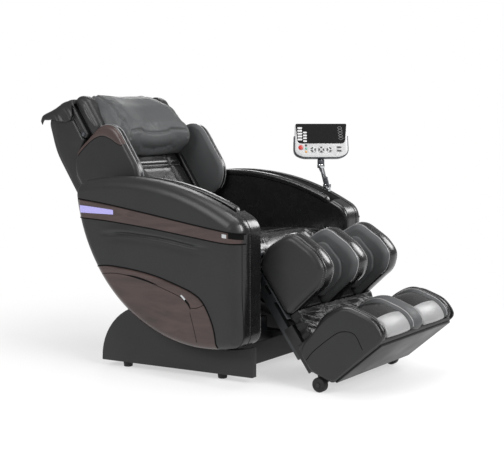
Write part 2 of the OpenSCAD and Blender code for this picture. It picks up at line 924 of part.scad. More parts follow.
// Flat lever between two round ends
module crank_plate(p, rp, q, rq) {
  side = [-(q - p)[1], (q - p)[0]] / norm(q - p);
  circle_at(p, rp);
  circle_at(q, rq);
  polygon([p + side * rp, p - side * rp, q - side * rq, q + side * rq]);
}
motor_top = 140;
module lift_motor() {
  placed() color("#4a4d52")
    in_back()
      difference() {
        union() {
          block([-32, 32], [-56, -6], [plate_low + 8, motor_top]);
          translate([0, -screw_n, motor_top - 1])
            cylinder(h = 6, r = 14);
        }
        translate([0, -screw_n, motor_top - 14])
          cylinder(h = 30, r = screw_r - 2 + run_gap);
      }
}
module lead_screw() {
  placed() color("#c4c7ca")
    in_back()
      translate([0, -screw_n, 0]) {
        translate([0, 0, motor_top - 13])
          cylinder(h = plate_high + 7 - motor_top + 13, r = screw_r - 2);
        translate([0, 0, motor_top + 5.5])
          cylinder(h = plate_high - 0.5 - motor_top - 5.5, r = screw_r);
      }
}
carriage_h = 90;
knead_n = 76;
knead_r = 6;
module carriage() {
  half = carriage_h / 2;
  placed() color("#53575c")
    in_back()
      translate([0, 0, carriage_b])
        difference() {
          union() {
            block([-140, 140], [-50, -18], [-half, half]);
            both()
              across(97, 105)
                crank_plate([-45, 0], 22, [-knead_n, 0], 13);
          }
          for (x = [-rod_x, rod_x])
            translate([x, -rod_n, -half - 1])
              cylinder(h = carriage_h + 2, r = rod_r + run_gap);
          translate([0, -screw_n, -half - 1])
            cylinder(h = carriage_h + 2, r = screw_r + run_gap);
          bar_x(-110, 110, -knead_n, 0, knead_r + run_gap);
        }
}
module knead_rollers() {
  placed() color("#8c5a3c")
    in_back()
      translate([0, -knead_n, carriage_b]) {
        bar_x(-109, 109, 0, 0, knead_r);
        both()
          for (x = [34, 66])
            translate([x, 0, 0])
              rotate([0, 90, 0])
                rotate_extrude()
                  roller_section();
      }
}
module roller_section() {
  translate([3, 0])
    square([roller_r - 9, 22]);
  translate([roller_r - 7, 4])
    square([4, 14]);
  translate([roller_r - 7, 11])
    intersection() {
      circle(r = 7);
      translate([0, -8])
        square([8, 16]);
    }
}

// Legrest: local Y is minus the distance in front of the hinge line, local Z is minus the leg length
pan_y = [22.3, 28.3];
leg_rail_x = [198, 216];
leg_rail_y = [62, 92];
leg_rail_end = 355;
crank_leg = leg_crank * [sin(leg_mid + leg_lift), -cos(leg_mid + leg_lift)];
module leg_frame() {
  hinge_r = 15;
  placed() color(steel_colour)
    in_leg()
      difference() {
        union() {
          block([-leg_x + 8, leg_x - 8], pan_y, [-calf_len - 4, -30]);
          both() {
            bar_x(leg_x - 30, leg_x, 0, 0, hinge_r);
            across(leg_x - 18, leg_x - 8)
              polygon([
                [0, -14], [14, 0], [pan_y[1], -12], [pan_y[1], -75], [pan_y[0], -75], [pan_y[0], -33]
              ]);
            block(leg_rail_x, leg_rail_y, [-leg_rail_end, -60]);
            for (d = [60, 125])
              block(leg_rail_x, [pan_y[1] - 1, leg_rail_y[0] + 1], [-d - 30, -d]);
          }
          for (s = [-1, 1])
            across(leg_x_drive + s * 9 - 3, leg_x_drive + s * 9 + 3) {
              crank_plate([pan_y[0] + 4, -90], 30, crank_leg, 12);
            }
          bar_x(leg_x_drive - 11, leg_x_drive + 11, crank_leg[0], crank_leg[1], drive_pin_r);
        }
        both()
          bar_x(leg_x - 31, leg_x + 1, 0, 0, knee_pin_r + run_gap);
        block([leg_x_drive - 6, leg_x_drive + 6], [0, pan_y[1] + 0.1], [-140, -20]);
        block([leg_x_drive - 40, leg_x_drive + 40], [-60, pan_y[0]], [-240, 0]);
      }
}
calf_edge = 16;
calf_rear = pan_y[0] - seat_gap;
calf_pts = [
  [calf_rear, -calf_len, 20], [calf_rear, -34, 18], [-40, -5, 26],
  [17 - calf_m, -24, 42], [-calf_m, -150, 56], [42 - calf_m, 21 - calf_len, 46]
];
module calf_wall(x0, x1) {
  placed() color(leather_colour)
    in_leg()
      slab(function(inset) outline(calf_pts, inset, 4), x0, x1, calf_edge, calf_edge);
}
calf_in = leg_x - calf_outer_w;
calf_mid = calf_middle_w / 2;
module calf_wall_right() {
  calf_wall(-leg_x, -calf_in);
}
module calf_wall_middle() {
  calf_wall(-calf_mid, calf_mid);
}
module calf_wall_left() {
  calf_wall(calf_in, leg_x);
}
bag_pts = [
  [2, 22 - calf_len, 22], [2, -52, 22], [52 - calf_m, -42, 36],
  [38 - calf_m, -146, 50], [72 - calf_m, 42 - calf_len, 40]
];
module calf_airbags() {
  spans = [
    [calf_mid + seat_gap, calf_mid + seat_gap + airbag_t],
    [calf_in - seat_gap - airbag_t, calf_in - seat_gap]
  ];
  placed() color("#7a7a7a")
    in_leg()
      both()
        for (s = spans)
          slab(function(inset) outline(bag_pts, inset, 3), s[0], s[1], airbag_t / 2 - 1, airbag_t / 2 - 1);
}
module calf_backing() {
  x0 = calf_mid + airbag_t + 1;
  x1 = calf_in - airbag_t - 1;
  pts = [[-6, 4 - calf_len, 12], [calf_rear, 4 - calf_len, 12], [calf_rear, -34, 12], [-6, -44, 12]];
  placed() color(leather_colour)
    in_leg()
      both()
        slab(function(inset) outline(pts, inset, 3), x0, x1, 10, 10);
}
// Gaiter of soft leather between the calf walls and the footrest, lying in folds
gaiter_folds = 5;
gaiter_half = foot_x - 12;
module gaiter() {
  d0 = calf_len + 0.6;
  d1 = foot_d - 0.6;
  steps = gaiter_folds * 4;
  placed() color(leather_colour)
    in_leg()
      skin([
        for (i = [0:steps])
          let(
            fold = 5 * cos(360 * i / 4),
            z = -d1 + (d1 - d0) * i / steps,
            sec = outline([
              [-gaiter_half + 6 + fold, -20 + fold, 9], [gaiter_half - 6 - fold, -20 + fold, 9],
              [gaiter_half - 6 - fold, 22 - fold, 9], [-gaiter_half + 6 + fold, 22 - fold, 9]
            ], 0, 2)
          )
          [for (p = sec) [p[0], p[1], z]]
      ]);
}

// Footrest
foot_rear = 43;
wheel_m = 48.5;
wheel_d = (knee_z - wheel_r - wheel_m * sin(leg_lift)) / cos(leg_lift);
sole_slope = 0.072;
function sole_z(y, lift = 0) = -sole_d + (24 - y) * sole_slope + lift;
foot_pts = [
  [8 - toe_m, sole_z(8 - toe_m), 16], [-2, sole_z(-2), 14], [foot_rear, 66 - sole_d, 16],
  [foot_rear, -foot_d, 12], [49 - toe_m, -foot_d, 50], [-toe_m, 66 - sole_d, 60]
];
function foot_shape(inset) = outline(foot_pts, inset, 5);
slider_gap = 0.3;
slider_lip = 1.5;
module foot_shell() {
  inner = foot_x - foot_wall;
  lip_in = leg_rail_x[0] - slider_gap;
  lip_out = leg_rail_x[1] + slider_gap;
  placed() color("#333334")
    in_leg() {
      difference() {
        slab(function(inset) foot_shape(inset), -foot_x, foot_x, 8, 8);
        across(-inner, inner)
          polygon([
            [-toe_m - 60, sole_z(-toe_m - 60, 10)], [-12, sole_z(-12, 10)], [foot_rear - 6, 72 - sole_d],
            [foot_rear - 6, -foot_d + 60], [-toe_m - 60, -foot_d + 60]
          ]);
      }
      both() {
        difference() {
          block([lip_in - slider_lip, lip_out + slider_lip], [foot_rear - 2, 80], [74 - sole_d, -250]);
          block([lip_in, lip_out], [leg_rail_y[0] - slider_gap, 100], [66 - sole_d, -240]);
          block([lip_in - 10, lip_out + 10], [foot_rear - 10, foot_rear], [-foot_d, -240]);
        }
        across(leg_rail_x[1] + 2, leg_rail_x[1] + 9)
          polygon([
            [foot_rear - 12, 54 - sole_d], [foot_rear - 34, 22 - sole_d], [wheel_m - 6, -wheel_d - 9],
            [wheel_m + 10, -wheel_d - 4], [wheel_m + 8, -wheel_d + 10],
            [foot_rear + 2, 66 - sole_d], [foot_rear - 4, 70 - sole_d]
          ]);
        bar_x(leg_rail_x[1] + 4, foot_x - 1, wheel_m, -wheel_d, axle_r);
        bar_x(foot_x - 2.4, foot_x, wheel_m, -wheel_d, axle_r + 3);
      }
    }
}
axle_r = 4;
module foot_wheel(side) {
  x0 = leg_rail_x[1] + 10;
  x1 = foot_x - 3;
  placed() color("#202020")
    in_leg()
      mirror([side < 0 ? 1 : 0, 0, 0])
        difference() {
          translate([x0, wheel_m, -wheel_d])
            rotate([0, 90, 0])
              rotate_extrude()
                polygon([
                  [axle_r + run_gap, 0], [wheel_r - 3, 0], [wheel_r, 3], [wheel_r, x1 - x0 - 3],
                  [wheel_r - 3, x1 - x0], [axle_r + run_gap, x1 - x0]
                ]);
        }
}
module wheel_right() {
  foot_wheel(-1);
}
module wheel_left() {
  foot_wheel(1);
}
foot_mid = foot_middle_w / 2;
foot_in = foot_x - foot_outer_w;
wall_pts = [
  [-1 - toe_m, sole_z(-toe_m, 11), 20], [-14, sole_z(-14, 11), 18], [foot_rear - 6.4, 74 - sole_d, 18],
  [foot_rear - 6.4, -foot_d, 20], [-30, -foot_d, 20], [-62, wall_rise - foot_d, 34],
  [52 - toe_m, 10 - foot_d, 60], [-8 - toe_m, 66 - sole_d, 60]
];
module foot_walls() {
  shape = function(inset) outline(wall_pts, inset, 4);
  placed() color(leather_colour)
    in_leg() {
      both()
        slab(shape, foot_in, foot_x - foot_wall - seat_gap, 16, 16);
      slab(shape, -foot_mid, foot_mid, 16, 16);
    }
}
cover_pts = [
  [4 - toe_m, sole_z(-toe_m, 12), 8], [24 - toe_m, sole_z(20 - toe_m, 12), 8], [38 - toe_m, 88 - sole_d, 20],
  [114 - toe_m, 94 - sole_d, 18], [122 - toe_m, -foot_d, 26],
  [50 - toe_m, 2 - foot_d, 50], [-4 - toe_m, 66 - sole_d, 60]
];
module toe_covers() {
  placed() color(leather_colour)
    in_leg()
      both()
        slab(
          function(inset) outline(cover_pts, inset, 4),
          foot_mid + seat_gap, foot_in - seat_gap, 7, 7
        );
}
module sole_panel() {
  y0 = 14 - toe_m;
  y1 = -8;
  placed() color("#1a1a1b")
    in_leg()
      across(-foot_x + 12, foot_x - 12)
        polygon([
          [y0, sole_z(y0, -seat_gap)], [y0 + 3, sole_z(y0 + 3, -6)],
          [y1 - 3, sole_z(y1 - 3, -6)], [y1, sole_z(y1, -seat_gap)]
        ]);
}

// Handset pole and handset
pole_lean = 16.6;
pole_z = crest_c[1] + sqrt(crest_r * crest_r - pow(pole_y - crest_y, 2));
pole_top = [pole_x, pole_y + pole_len * sin(pole_lean), pole_z + pole_len * cos(pole_lean)];
swivel_r = 5;
collar_h = 14;
// Where the lead leaves the socket
gland = [pole_x - 13, pole_y - 14, pole_z + 4];
module pole_socket() {
  placed() color("#8f9296")
    difference() {
      union() {
        translate([pole_x, pole_y, pole_z - 12])
          cylinder(h = 30, r = 15);
        translate(gland - [0, 0, 20])
          cylinder(h = 20, r = 5);
      }
      across(arm_in, arm_out)
        polygon(arm_shape(-seat_gap));
      pole_bar(pole_r + run_gap);
    }
}
module pole_bar(r) {
  translate([pole_x, pole_y, pole_z])
    rotate([-pole_lean, 0, 0])
      translate([0, 0, 2])
        cylinder(h = pole_len - 8, r = r);
}
module remote_pole() {
  placed() color("#c9cbce")
    difference() {
      union() {
        pole_bar(pole_r);
        translate(pole_top - [0, 0, collar_h])
          cylinder(h = collar_h, r = 14);
        translate(pole_top - [0, 0, 4])
          cylinder(h = 21, r = swivel_r);
      }
      across(arm_in, arm_out)
        polygon(arm_shape(-seat_gap));
    }
}
// Handset frame: hub axis through the origin, face to -Y before it is turned
remote_y = -20;
remote_up = remote_h / 2 + 2;
remote_lift = 26;
module in_remote() {
  translate(pole_top)
    rotate([0, 0, -remote_yaw])
      children();
}
module on_face() {
  in_remote()
    translate([0, remote_y, remote_lift])
      rotate([-remote_tilt, 0, 0])
        translate([0, 0, remote_up])
          children();
}
// Outline in the handset's own width and height, extruded back from its face
module face_plate(y0, y1) {
  translate([0, y1, 0])
    rotate([90, 0, 0])
      linear_extrude(y1 - y0)
        children();
}
remote_taper = 4;
remote_pts = [
  [30 - remote_w / 2, -remote_h / 2, 66], [remote_w / 2 - 30, -remote_h / 2, 66],
  [remote_w / 2, 14 - remote_h / 2, 24], [remote_w / 2 - remote_taper, remote_h / 2, 6],
  [remote_taper - remote_w / 2, remote_h / 2, 6], [-remote_w / 2, 14 - remote_h / 2, 24]
];
cradle_gap = 0.3;
// Height of the cradle's side arms above the handset's lower edge
cradle_arms = 80;
module remote_cradle() {
  placed() color("#3c3f45") {
    in_remote()
      difference() {
        translate([0, 0, seat_gap])
          cylinder(h = 16, r = 13);
        translate([0, 0, -1])
          cylinder(h = 40, r = swivel_r + run_gap);
      }
    on_face() {
      face_plate(remote_t + cradle_gap, remote_t + 5)
        intersection() {
          polygon(outline(remote_pts, -4, 5));
          translate([-remote_w, -remote_h])
            square([2 * remote_w, remote_h]);
        }
      face_plate(4, remote_t + 1)
        difference() {
          polygon(outline(remote_pts, -4, 5));
          polygon(outline(remote_pts, -cradle_gap, 5));
          translate([-remote_w, cradle_arms - remote_h / 2])
            square([2 * remote_w, 2 * remote_h]);
        }
    }
    in_remote()
      difference() {
        block([-11, 11], [-4, 13], [seat_gap + 8, remote_lift + 24]);
        translate([0, 0, -1])
          cylinder(h = 24, r = swivel_r + run_gap);
        translate([0, remote_y, remote_lift])
          rotate([-remote_tilt, 0, 0])
            block([-50, 50], [-60, remote_t + 1], [-60, 90]);
      }
  }
}
// Window over most of the face, down to the key panel
screen_rim = 3;
screen_low = -12;
screen_pts = [
  [6 + screen_rim + remote_taper - remote_w / 2, screen_low, 15],
  [remote_w / 2 - remote_taper - screen_rim - 6, screen_low, 15],
  [remote_w / 2 - remote_taper - screen_rim, remote_h / 2 - screen_rim, 4],
  [screen_rim + remote_taper - remote_w / 2, remote_h / 2 - screen_rim, 4]
];
key_depth = 6;
key_gap = 0.3;
key_row = screen_low - 23;
key_step = 12;
round_keys = [
  [-78, key_row + 8, 9], [-58, key_row + 4 + key_step, 4],
  [-58, key_row + 4, 4], [-58, key_row + 4 - key_step, 4]
];
pad_keys = [[-31, key_row, 11], [-1, key_row, 12.5], [29, key_row, 11]];
rocker_at = [67, key_row + 2];
rocker_size = [19, 22];
rocker_pin = 2;
module key_hole(k) {
  translate([k[0], 0, k[1]])
    rotate([90, 0, 0])
      translate([0, 0, -key_depth])
        cylinder(h = key_depth + 5, r = k[2] + key_gap);
}
module remote_body() {
  placed() color("#d9d9d9")
    on_face()
      difference() {
        face_plate(0, remote_t)
          polygon(outline(remote_pts, 0, 5));
        face_plate(-1, 2)
          polygon(outline(screen_pts, -key_gap, 5));
        for (k = concat(round_keys, pad_keys))
          key_hole(k);
        block(
          [rocker_at[0] - rocker_size[0] / 2 - key_gap, rocker_at[0] + rocker_size[0] / 2 + key_gap],
          [-1, key_depth],
          [rocker_at[1] - rocker_size[1] / 2 - key_gap, rocker_at[1] + rocker_size[1] / 2 + key_gap]
        );
        translate([0, 2.5, 0])
          bar_x(
            rocker_at[0] - rocker_size[0] / 2 - rocker_pin, rocker_at[0] + rocker_size[0] / 2 + rocker_pin,
            0, rocker_at[1], 1 + run_gap
          );
      }
}
module remote_screen() {
  placed() color("#111111")
    on_face()
      face_plate(-0.4, 2)
        polygon(outline(screen_pts, 0, 5));
}
// Key cap that stands 1.5 mm proud and leaves room behind it for its travel
key_proud = 1.5;
module round_key(k, colour) {
  placed() color(colour)
    on_face()
      translate([k[0], key_depth - key_travel - 0.3, k[1]])
        rotate([90, 0, 0])
          cylinder(h = key_depth - key_travel - 0.3 + key_proud, r = k[2]);
}
module power_key() {
  round_key(round_keys[0], "#b5302b");
}
module heat_key() {
  round_key(round_keys[1], "#444444");
}
module zone_key() {
  round_key(round_keys[2], "#4fa08c");
}
module timer_key() {
  round_key(round_keys[3], "#d09a50");
}
module left_pad() {
  round_key(pad_keys[0], "#6e6e6e");
}
module centre_pad() {
  round_key(pad_keys[1], "#6e6e6e");
}
module right_pad() {
  round_key(pad_keys[2], "#6e6e6e");
}
module speed_rocker() {
  half = rocker_size[1] / 2;
  placed() color("#6e6e6e")
    on_face()
      translate([0, 2.5, rocker_at[1]]) {
        across(rocker_at[0] - rocker_size[0] / 2, rocker_at[0] + rocker_size[0] / 2)
          polygon([
            [-4, 0.3 - half], [-3.4, 0], [-4, half - 0.3], [-1, half - 0.1], [1.5, 0], [-1, 0.1 - half]
          ]);
        bar_x(
          rocker_at[0] - rocker_size[0] / 2 - rocker_pin + 0.3,
          rocker_at[0] + rocker_size[0] / 2 + rocker_pin - 0.3, 0, 0, 1
        );
      }
}

// Handset lead: up the pole from a curled stretch at its foot
lead_r = lead_d / 2;
curl_r = 7;
curl_pitch = lead_d + 1.2;
lead_end = pole_top + [-11.5, 0, -collar_h - 0.3];
function curl_point(t) =
  gland + [curl_r * (cos(360 * t) - 1), curl_r * sin(360 * t) + curl_pitch * t * 0.3, 10 + curl_pitch * t];
lead_rise = [
  for (t = [0.35, 0.7, 1])
    let(top = curl_point(lead_curls))
    top + (lead_end - top) * t + [-2 * sin(180 * t), 4 * sin(180 * t), 0]
];
lead_path = concat(
  [gland + [0, 0, 0.3], gland + [0, -1, 5]],
  [for (i = [0:lead_curls * 8]) curl_point(i / 8)],
  lead_rise
);
// Least gap between stretches of the lead that lie a curl apart
lead_gap = min([
  for (i = [0:len(lead_path) - 6], j = [i + 5:len(lead_path) - 1])
    norm(lead_path[i] - lead_path[j])
]) - lead_d;
echo(lead_gap = lead_gap);
function along(path, i) = unit(path[min(i + 1, len(path) - 1)] - path[max(i - 1, 0)]);
module tube(path, r, sides) {
  skin([
    for (i = [0:len(path) - 1])
      let(
        t = along(path, i),
        u = unit(cross(t, [0.3, 0.2, 1])),
        v = cross(t, u)
      )
      [for (k = [0:sides - 1]) path[i] + r * (u * cos(-360 * k / sides) + v * sin(-360 * k / sides))]
  ]);
}
module remote_lead() {
  placed() color("#1b1b1c")
    tube(lead_path, lead_r, 6);
}

base_frame();
base_cover();
base_feet();
runner_guides();
air_pump();
control_box();
power_inlet();
power_switch();
tilt_motor();
tilt_rod();
seat_frame();
seat_cushion();
arm_right();
arm_left();
forearm_pads();
arm_bands();
light_lenses();
side_panels();
recline_motor();
recline_rod();
leg_motor();
leg_rod();
back_frame();
back_shell();
back_pad();
wings();
wing_trims();
head_pillow();
head_cover();
lift_motor();
lead_screw();
carriage();
knead_rollers();
leg_frame();
calf_wall_right();
calf_wall_middle();
calf_wall_left();
calf_backing();
calf_airbags();
gaiter();
foot_shell();
foot_walls();
toe_covers();
sole_panel();
wheel_right();
wheel_left();
pole_socket();
remote_pole();
remote_cradle();
remote_body();
remote_screen();
remote_lead();
power_key();
heat_key();
zone_key();
timer_key();
left_pad();
centre_pad();
right_pad();
speed_rocker();
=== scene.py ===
import json
import math

import bmesh
import bpy
import numpy as np
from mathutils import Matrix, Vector
from mathutils.bvhtree import BVHTree


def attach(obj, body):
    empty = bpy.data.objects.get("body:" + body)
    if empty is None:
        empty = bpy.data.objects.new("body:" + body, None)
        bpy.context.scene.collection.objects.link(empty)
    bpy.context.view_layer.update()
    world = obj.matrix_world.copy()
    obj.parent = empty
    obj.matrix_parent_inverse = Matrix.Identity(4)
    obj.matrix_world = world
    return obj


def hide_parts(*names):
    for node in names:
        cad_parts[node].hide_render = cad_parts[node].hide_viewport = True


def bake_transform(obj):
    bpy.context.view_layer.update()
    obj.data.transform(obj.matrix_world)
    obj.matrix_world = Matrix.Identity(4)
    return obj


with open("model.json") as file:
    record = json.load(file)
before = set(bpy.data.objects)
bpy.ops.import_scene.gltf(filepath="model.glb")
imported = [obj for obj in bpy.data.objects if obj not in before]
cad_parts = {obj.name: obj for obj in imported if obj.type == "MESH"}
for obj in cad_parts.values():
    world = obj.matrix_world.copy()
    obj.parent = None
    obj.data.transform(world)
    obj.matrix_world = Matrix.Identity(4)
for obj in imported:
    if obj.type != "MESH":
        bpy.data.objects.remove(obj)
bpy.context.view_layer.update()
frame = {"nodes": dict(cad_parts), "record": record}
scene = bpy.context.scene
bodyOf = {node: body for body, nodes in frame["record"]["behaviour"]["bodies"].items() for node in nodes}
bothSides = ((1, "Left"), (-1, "Right"))

# the chair's own places, in millimetres and degrees
chair = {
    "shift": (20.4, 42.9, 0),
    "back": {"hinge": (350, 330), "turn": 35.0},
    "leg": {"hinge": (-240, 425), "turn": 36.6},
    "handset": {"poleTop": (352, -107.574, 692.951), "yaw": 50.0, "tilt": 12.0, "back": -20, "lift": 26,
                "middle": 65},
}


def turned(a, b, degrees):
    c, s = math.cos(math.radians(degrees)), math.sin(math.radians(degrees))
    return a * c + b * s, b * c - a * s


def toScene(points, place="chair"):
    # millimetres in the chair, the leaning back, the hanging leg or the handset's face to metres in the frame
    x, y, z = np.array(points, float).reshape(-1, 3).T
    spot = chair.get(place)
    if place == "handset":
        y, z = turned(y, z + spot["middle"], spot["tilt"])
        x, y = turned(x, y + spot["back"], spot["yaw"])
        px, py, pz = spot["poleTop"]
        x, y, z = x + px, y + py, z + spot["lift"] + pz
    elif spot:
        y, z = turned(y, z, spot["turn"])
        y, z = y + spot["hinge"][0], z + spot["hinge"][1]
    return (np.column_stack([x, y, z]) - chair["shift"]) / 1000


def smoothStep(low, high, x):
    t = np.clip((np.asarray(x, float) - low) / (high - low), 0, 1)
    return t * t * (3 - 2 * t)


def addObject(name, data):
    made = bpy.data.objects.new(name, data)
    scene.collection.objects.link(made)
    return made


# camera at the photograph's place
cameraSet = {"lens": 77.143, "sensor": 36.0, "at": (-3.12626, -2.29882, 0.877), "plan": 54.5, "down": 5.789}
plan, down = math.radians(cameraSet["plan"]), math.radians(cameraSet["down"])
look = Vector((math.sin(plan) * math.cos(down), math.cos(plan) * math.cos(down), -math.sin(down)))
camera = addObject("camera", bpy.data.cameras.new("camera"))
camera.data.lens, camera.data.sensor_width = cameraSet["lens"], cameraSet["sensor"]
camera.location = cameraSet["at"]
camera.rotation_euler = look.to_track_quat("-Z", "Y").to_euler()
scene.camera = camera
scene.view_settings.view_transform = "Standard"
print("camera set")


def hexColour(text):
    parts = [int(text[i:i + 2], 16) / 255 for i in (1, 3, 5)]
    return [c / 12.92 if c <= 0.04045 else ((c + 0.055) / 1.055) ** 2.4 for c in parts] + [1.0]


def fillNode(tree, node, inputs):
    for key, value in inputs.items():
        if isinstance(value, bpy.types.NodeSocket):
            tree.links.new(value, node.inputs[key])
        else:
            node.inputs[key].default_value = value


def addNode(tree, kind, inputs=None, **settings):
    made = tree.nodes.new(kind)
    for key, value in settings.items():
        setattr(made, key, value)
    fillNode(tree, made, inputs or {})
    return made


def startMaterial(name):
    material = bpy.data.materials.new(name)
    material.use_nodes = True
    tree = material.node_tree
    return material, tree, addNode(tree, "ShaderNodeTexCoord").outputs["Object"]


def shade(tree, inputs):
    fillNode(tree, tree.nodes["Principled BSDF"], inputs)


def noise(tree, place, sizeMm, detail, more=()):
    inputs = {"Vector": place, "Scale": 1000 / sizeMm, "Detail": detail, **dict(more)}
    return addNode(tree, "ShaderNodeTexNoise", inputs).outputs[0]


def stretched(tree, place, scale):
    return addNode(tree, "ShaderNodeMapping", {"Vector": place, "Scale": scale}).outputs[0]


def toneOf(tree, share, light, dark):
    colours = {0: share, 6: hexColour(light), 7: hexColour(dark)}
    return addNode(tree, "ShaderNodeMix", colours, data_type="RGBA").outputs[2]


def glossOf(tree, value, rough):
    spread = {"Value": value, "From Min": 0.3, "From Max": 0.7, "To Min": rough[0], "To Max": rough[1]}
    return addNode(tree, "ShaderNodeMapRange", spread).outputs[0]


def bumpOf(tree, height, strength, distance, more=()):
    inputs = {"Height": height, "Strength": strength, "Distance": distance, **dict(more)}
    return addNode(tree, "ShaderNodeBump", inputs).outputs[0]


def leatherFinish(name, light, dark, tone, grain, crease, rough, coat=0.0, shine=0.5):
    # coated leather: slow changes of tone, pressed grain and drawn creases, each in mm with its lift
    material, tree, place = startMaterial(name)
    cells = {"Vector": place, "Scale": 1000 / grain[0], "Randomness": 0.9}
    pressed = addNode(tree, "ShaderNodeTexVoronoi", cells, feature="SMOOTH_F1").outputs[0]
    drawn = noise(tree, place, crease[0], 5.0, {"Roughness": 0.55, "Distortion": 0.7})
    skin = bumpOf(tree, pressed, grain[1], grain[0] / 4000)
    shade(tree, {
        "Base Color": toneOf(tree, noise(tree, place, tone, 3.0), light, dark),
        "Roughness": glossOf(tree, drawn, rough),
        "Normal": bumpOf(tree, drawn, crease[1], crease[0] / 5000, {"Normal": skin}), "IOR": 1.5,
        "Specular IOR Level": shine, "Coat Weight": coat, "Coat Roughness": 0.22})
    return material


def plasticFinish(name, light, dark, flow, skin, rough, coat=0.0, shine=0.5, ior=1.52, stretch=(1, 1, 1),
                  swirl=0.0):
    # moulded plastic: flow marks in tone and gloss, stretched on the brown lacquer into streaks of painted
    # reflection, and a spark-eroded or polished skin in mm with its lift
    material, tree, place = startMaterial(name)
    marks = noise(tree, stretched(tree, place, stretch), flow, 2.0, {"Distortion": swirl})
    shade(tree, {
        "Base Color": toneOf(tree, marks, light, dark), "Roughness": glossOf(tree, marks, rough),
        "Normal": bumpOf(tree, noise(tree, place, skin[0], 3.0), skin[1], skin[0] / 4000), "IOR": ior,
        "Specular IOR Level": shine, "Coat Weight": coat, "Coat Roughness": 0.06})
    return material


def metalFinish(name, light, dark, mark, stretch, rough):
    # drawn or ground metal: long fine marks along one way, uneven gloss
    material, tree, place = startMaterial(name)
    marks = noise(tree, stretched(tree, place, stretch), mark, 4.0)
    shade(tree, {
        "Base Color": toneOf(tree, marks, light, dark), "Roughness": glossOf(tree, marks, rough),
        "Normal": bumpOf(tree, marks, 0.12, 0.0001), "Metallic": 1.0})
    return material


# vinyl-coated leather on the arms, wings and outer sides: flat satin with a large pressed grain
matteLeather = leatherFinish("matteVinylLeather", "#272728", "#202021", tone=140, grain=(1.6, 0.14),
                             crease=(120, 0.05), rough=(0.36, 0.44), coat=0.04, shine=0.36)
# glazed black upholstery leather: deep colour and long soft highlights
glossLeather = leatherFinish("glazedBlackLeather", "#161617", "#0f0f10", tone=90, grain=(1.8, 0.05),
                             crease=(46, 0.08), rough=(0.22, 0.3), coat=0.2)
# a duller black leather that lies slack and crumpled
slackLeather = leatherFinish("crumpledBlackLeather", "#0f0f10", "#09090a", tone=50, grain=(1.8, 0.06),
                             crease=(24, 0.22), rough=(0.32, 0.44), coat=0.03, shine=0.3)
# charcoal leather on the pillow, the calf bags and the inner sides
charcoalLeather = leatherFinish("charcoalLeather", "#4b4c4d", "#3f4041", tone=110, grain=(1.8, 0.12),
                                crease=(70, 0.08), rough=(0.5, 0.58), shine=0.4)
# pale grey leather let into the toe covers
paleLeather = leatherFinish("paleGreyLeather", "#8f8f90", "#7e7e7f", tone=80, grain=(1.8, 0.2),
                            crease=(60, 0.08), rough=(0.36, 0.46), coat=0.1)
# rolled leather piping, painted light grey for the highlight along its ridge
pipingPaintedHighlight = leatherFinish("rolledPipingPaintedHighlight", "#98989a", "#777779", tone=30, grain=(1.2, 0.15),
                              crease=(12, 0.1), rough=(0.25, 0.35), coat=0.2)
# sunk seam between two panels, where no light reaches
seamShade = leatherFinish("sunkSeam", "#0c0c0c", "#070707", tone=20, grain=(1.2, 0.1),
                          crease=(10, 0.1), rough=(0.7, 0.8), shine=0.1)
# bonded polyester sewing thread
sewingThread = leatherFinish("sewingThread", "#6a6a6b", "#4e4e4f", tone=6, grain=(0.5, 0.4),
                             crease=(4, 0.1), rough=(0.5, 0.6))
# moulded ABS with a fine spark-eroded skin, drawn large enough to show close up
mouldedAbs = plasticFinish("texturedAbs", "#2a2a2a", "#252525", flow=260, skin=(0.9, 0.16),
                           rough=(0.46, 0.55), shine=0.35)
# lacquered ABS, polished and clear coated, warm brown, with long swirled dark and light streaks of painted
# reflection drawn like wood grain
brownLacquerPaintedReflection = plasticFinish("brownLacquerPaintedReflection", "#4e3b37", "#1a1211", flow=110, skin=(14, 0.02),
                             rough=(0.16, 0.22), coat=0.5, shine=0.25, stretch=(1, 0.4, 2.4), swirl=1.8)
# satin brown cap on the wings
brownSatin = plasticFinish("brownSatin", "#4a3c39", "#3f3230", flow=120, skin=(2.0, 0.06), rough=(0.34, 0.42),
                           coat=0.15, shine=0.3)
# shadow in a joint between mouldings
jointShade = plasticFinish("jointShade", "#0b0909", "#060505", flow=30, skin=(1, 0.1), rough=(0.7, 0.8),
                           shine=0.1)
# ABS sole plate
soleAbs = plasticFinish("glossSoleAbs", "#171718", "#111112", flow=120, skin=(2.5, 0.05),
                        rough=(0.36, 0.46), shine=0.3)
# black rubber with a dusty bloom
blackRubber = plasticFinish("blackRubber", "#1c1c1c", "#121212", flow=25, skin=(1.2, 0.2), rough=(0.65, 0.8))
# unfilled nylon of the guides
nylonBlock = plasticFinish("naturalNylon", "#dad6c8", "#c9c4b4", flow=30, skin=(1.5, 0.1), rough=(0.4, 0.5))
# handset mouldings: silver and slate ABS, black acrylic
silverAbs = plasticFinish("silverAbs", "#c2c2c3", "#b6b6b7", flow=60, skin=(0.6, 0.1), rough=(0.34, 0.4))
slateAbs = plasticFinish("slateAbs", "#3f4248", "#383b40", flow=50, skin=(0.8, 0.14), rough=(0.42, 0.5))
blackWindow = plasticFinish("blackAcrylicWindow", "#121212", "#0e0e0e", flow=80, skin=(20, 0.0),
                            rough=(0.06, 0.1), coat=0.4, ior=1.49)
# inks printed on the window
paleInk = plasticFinish("paleInk", "#d2d2d2", "#c4c4c4", flow=20, skin=(1, 0.0), rough=(0.4, 0.5))
greyInk = plasticFinish("greyInk", "#8a8a8a", "#787878", flow=12, skin=(1, 0.0), rough=(0.4, 0.5))
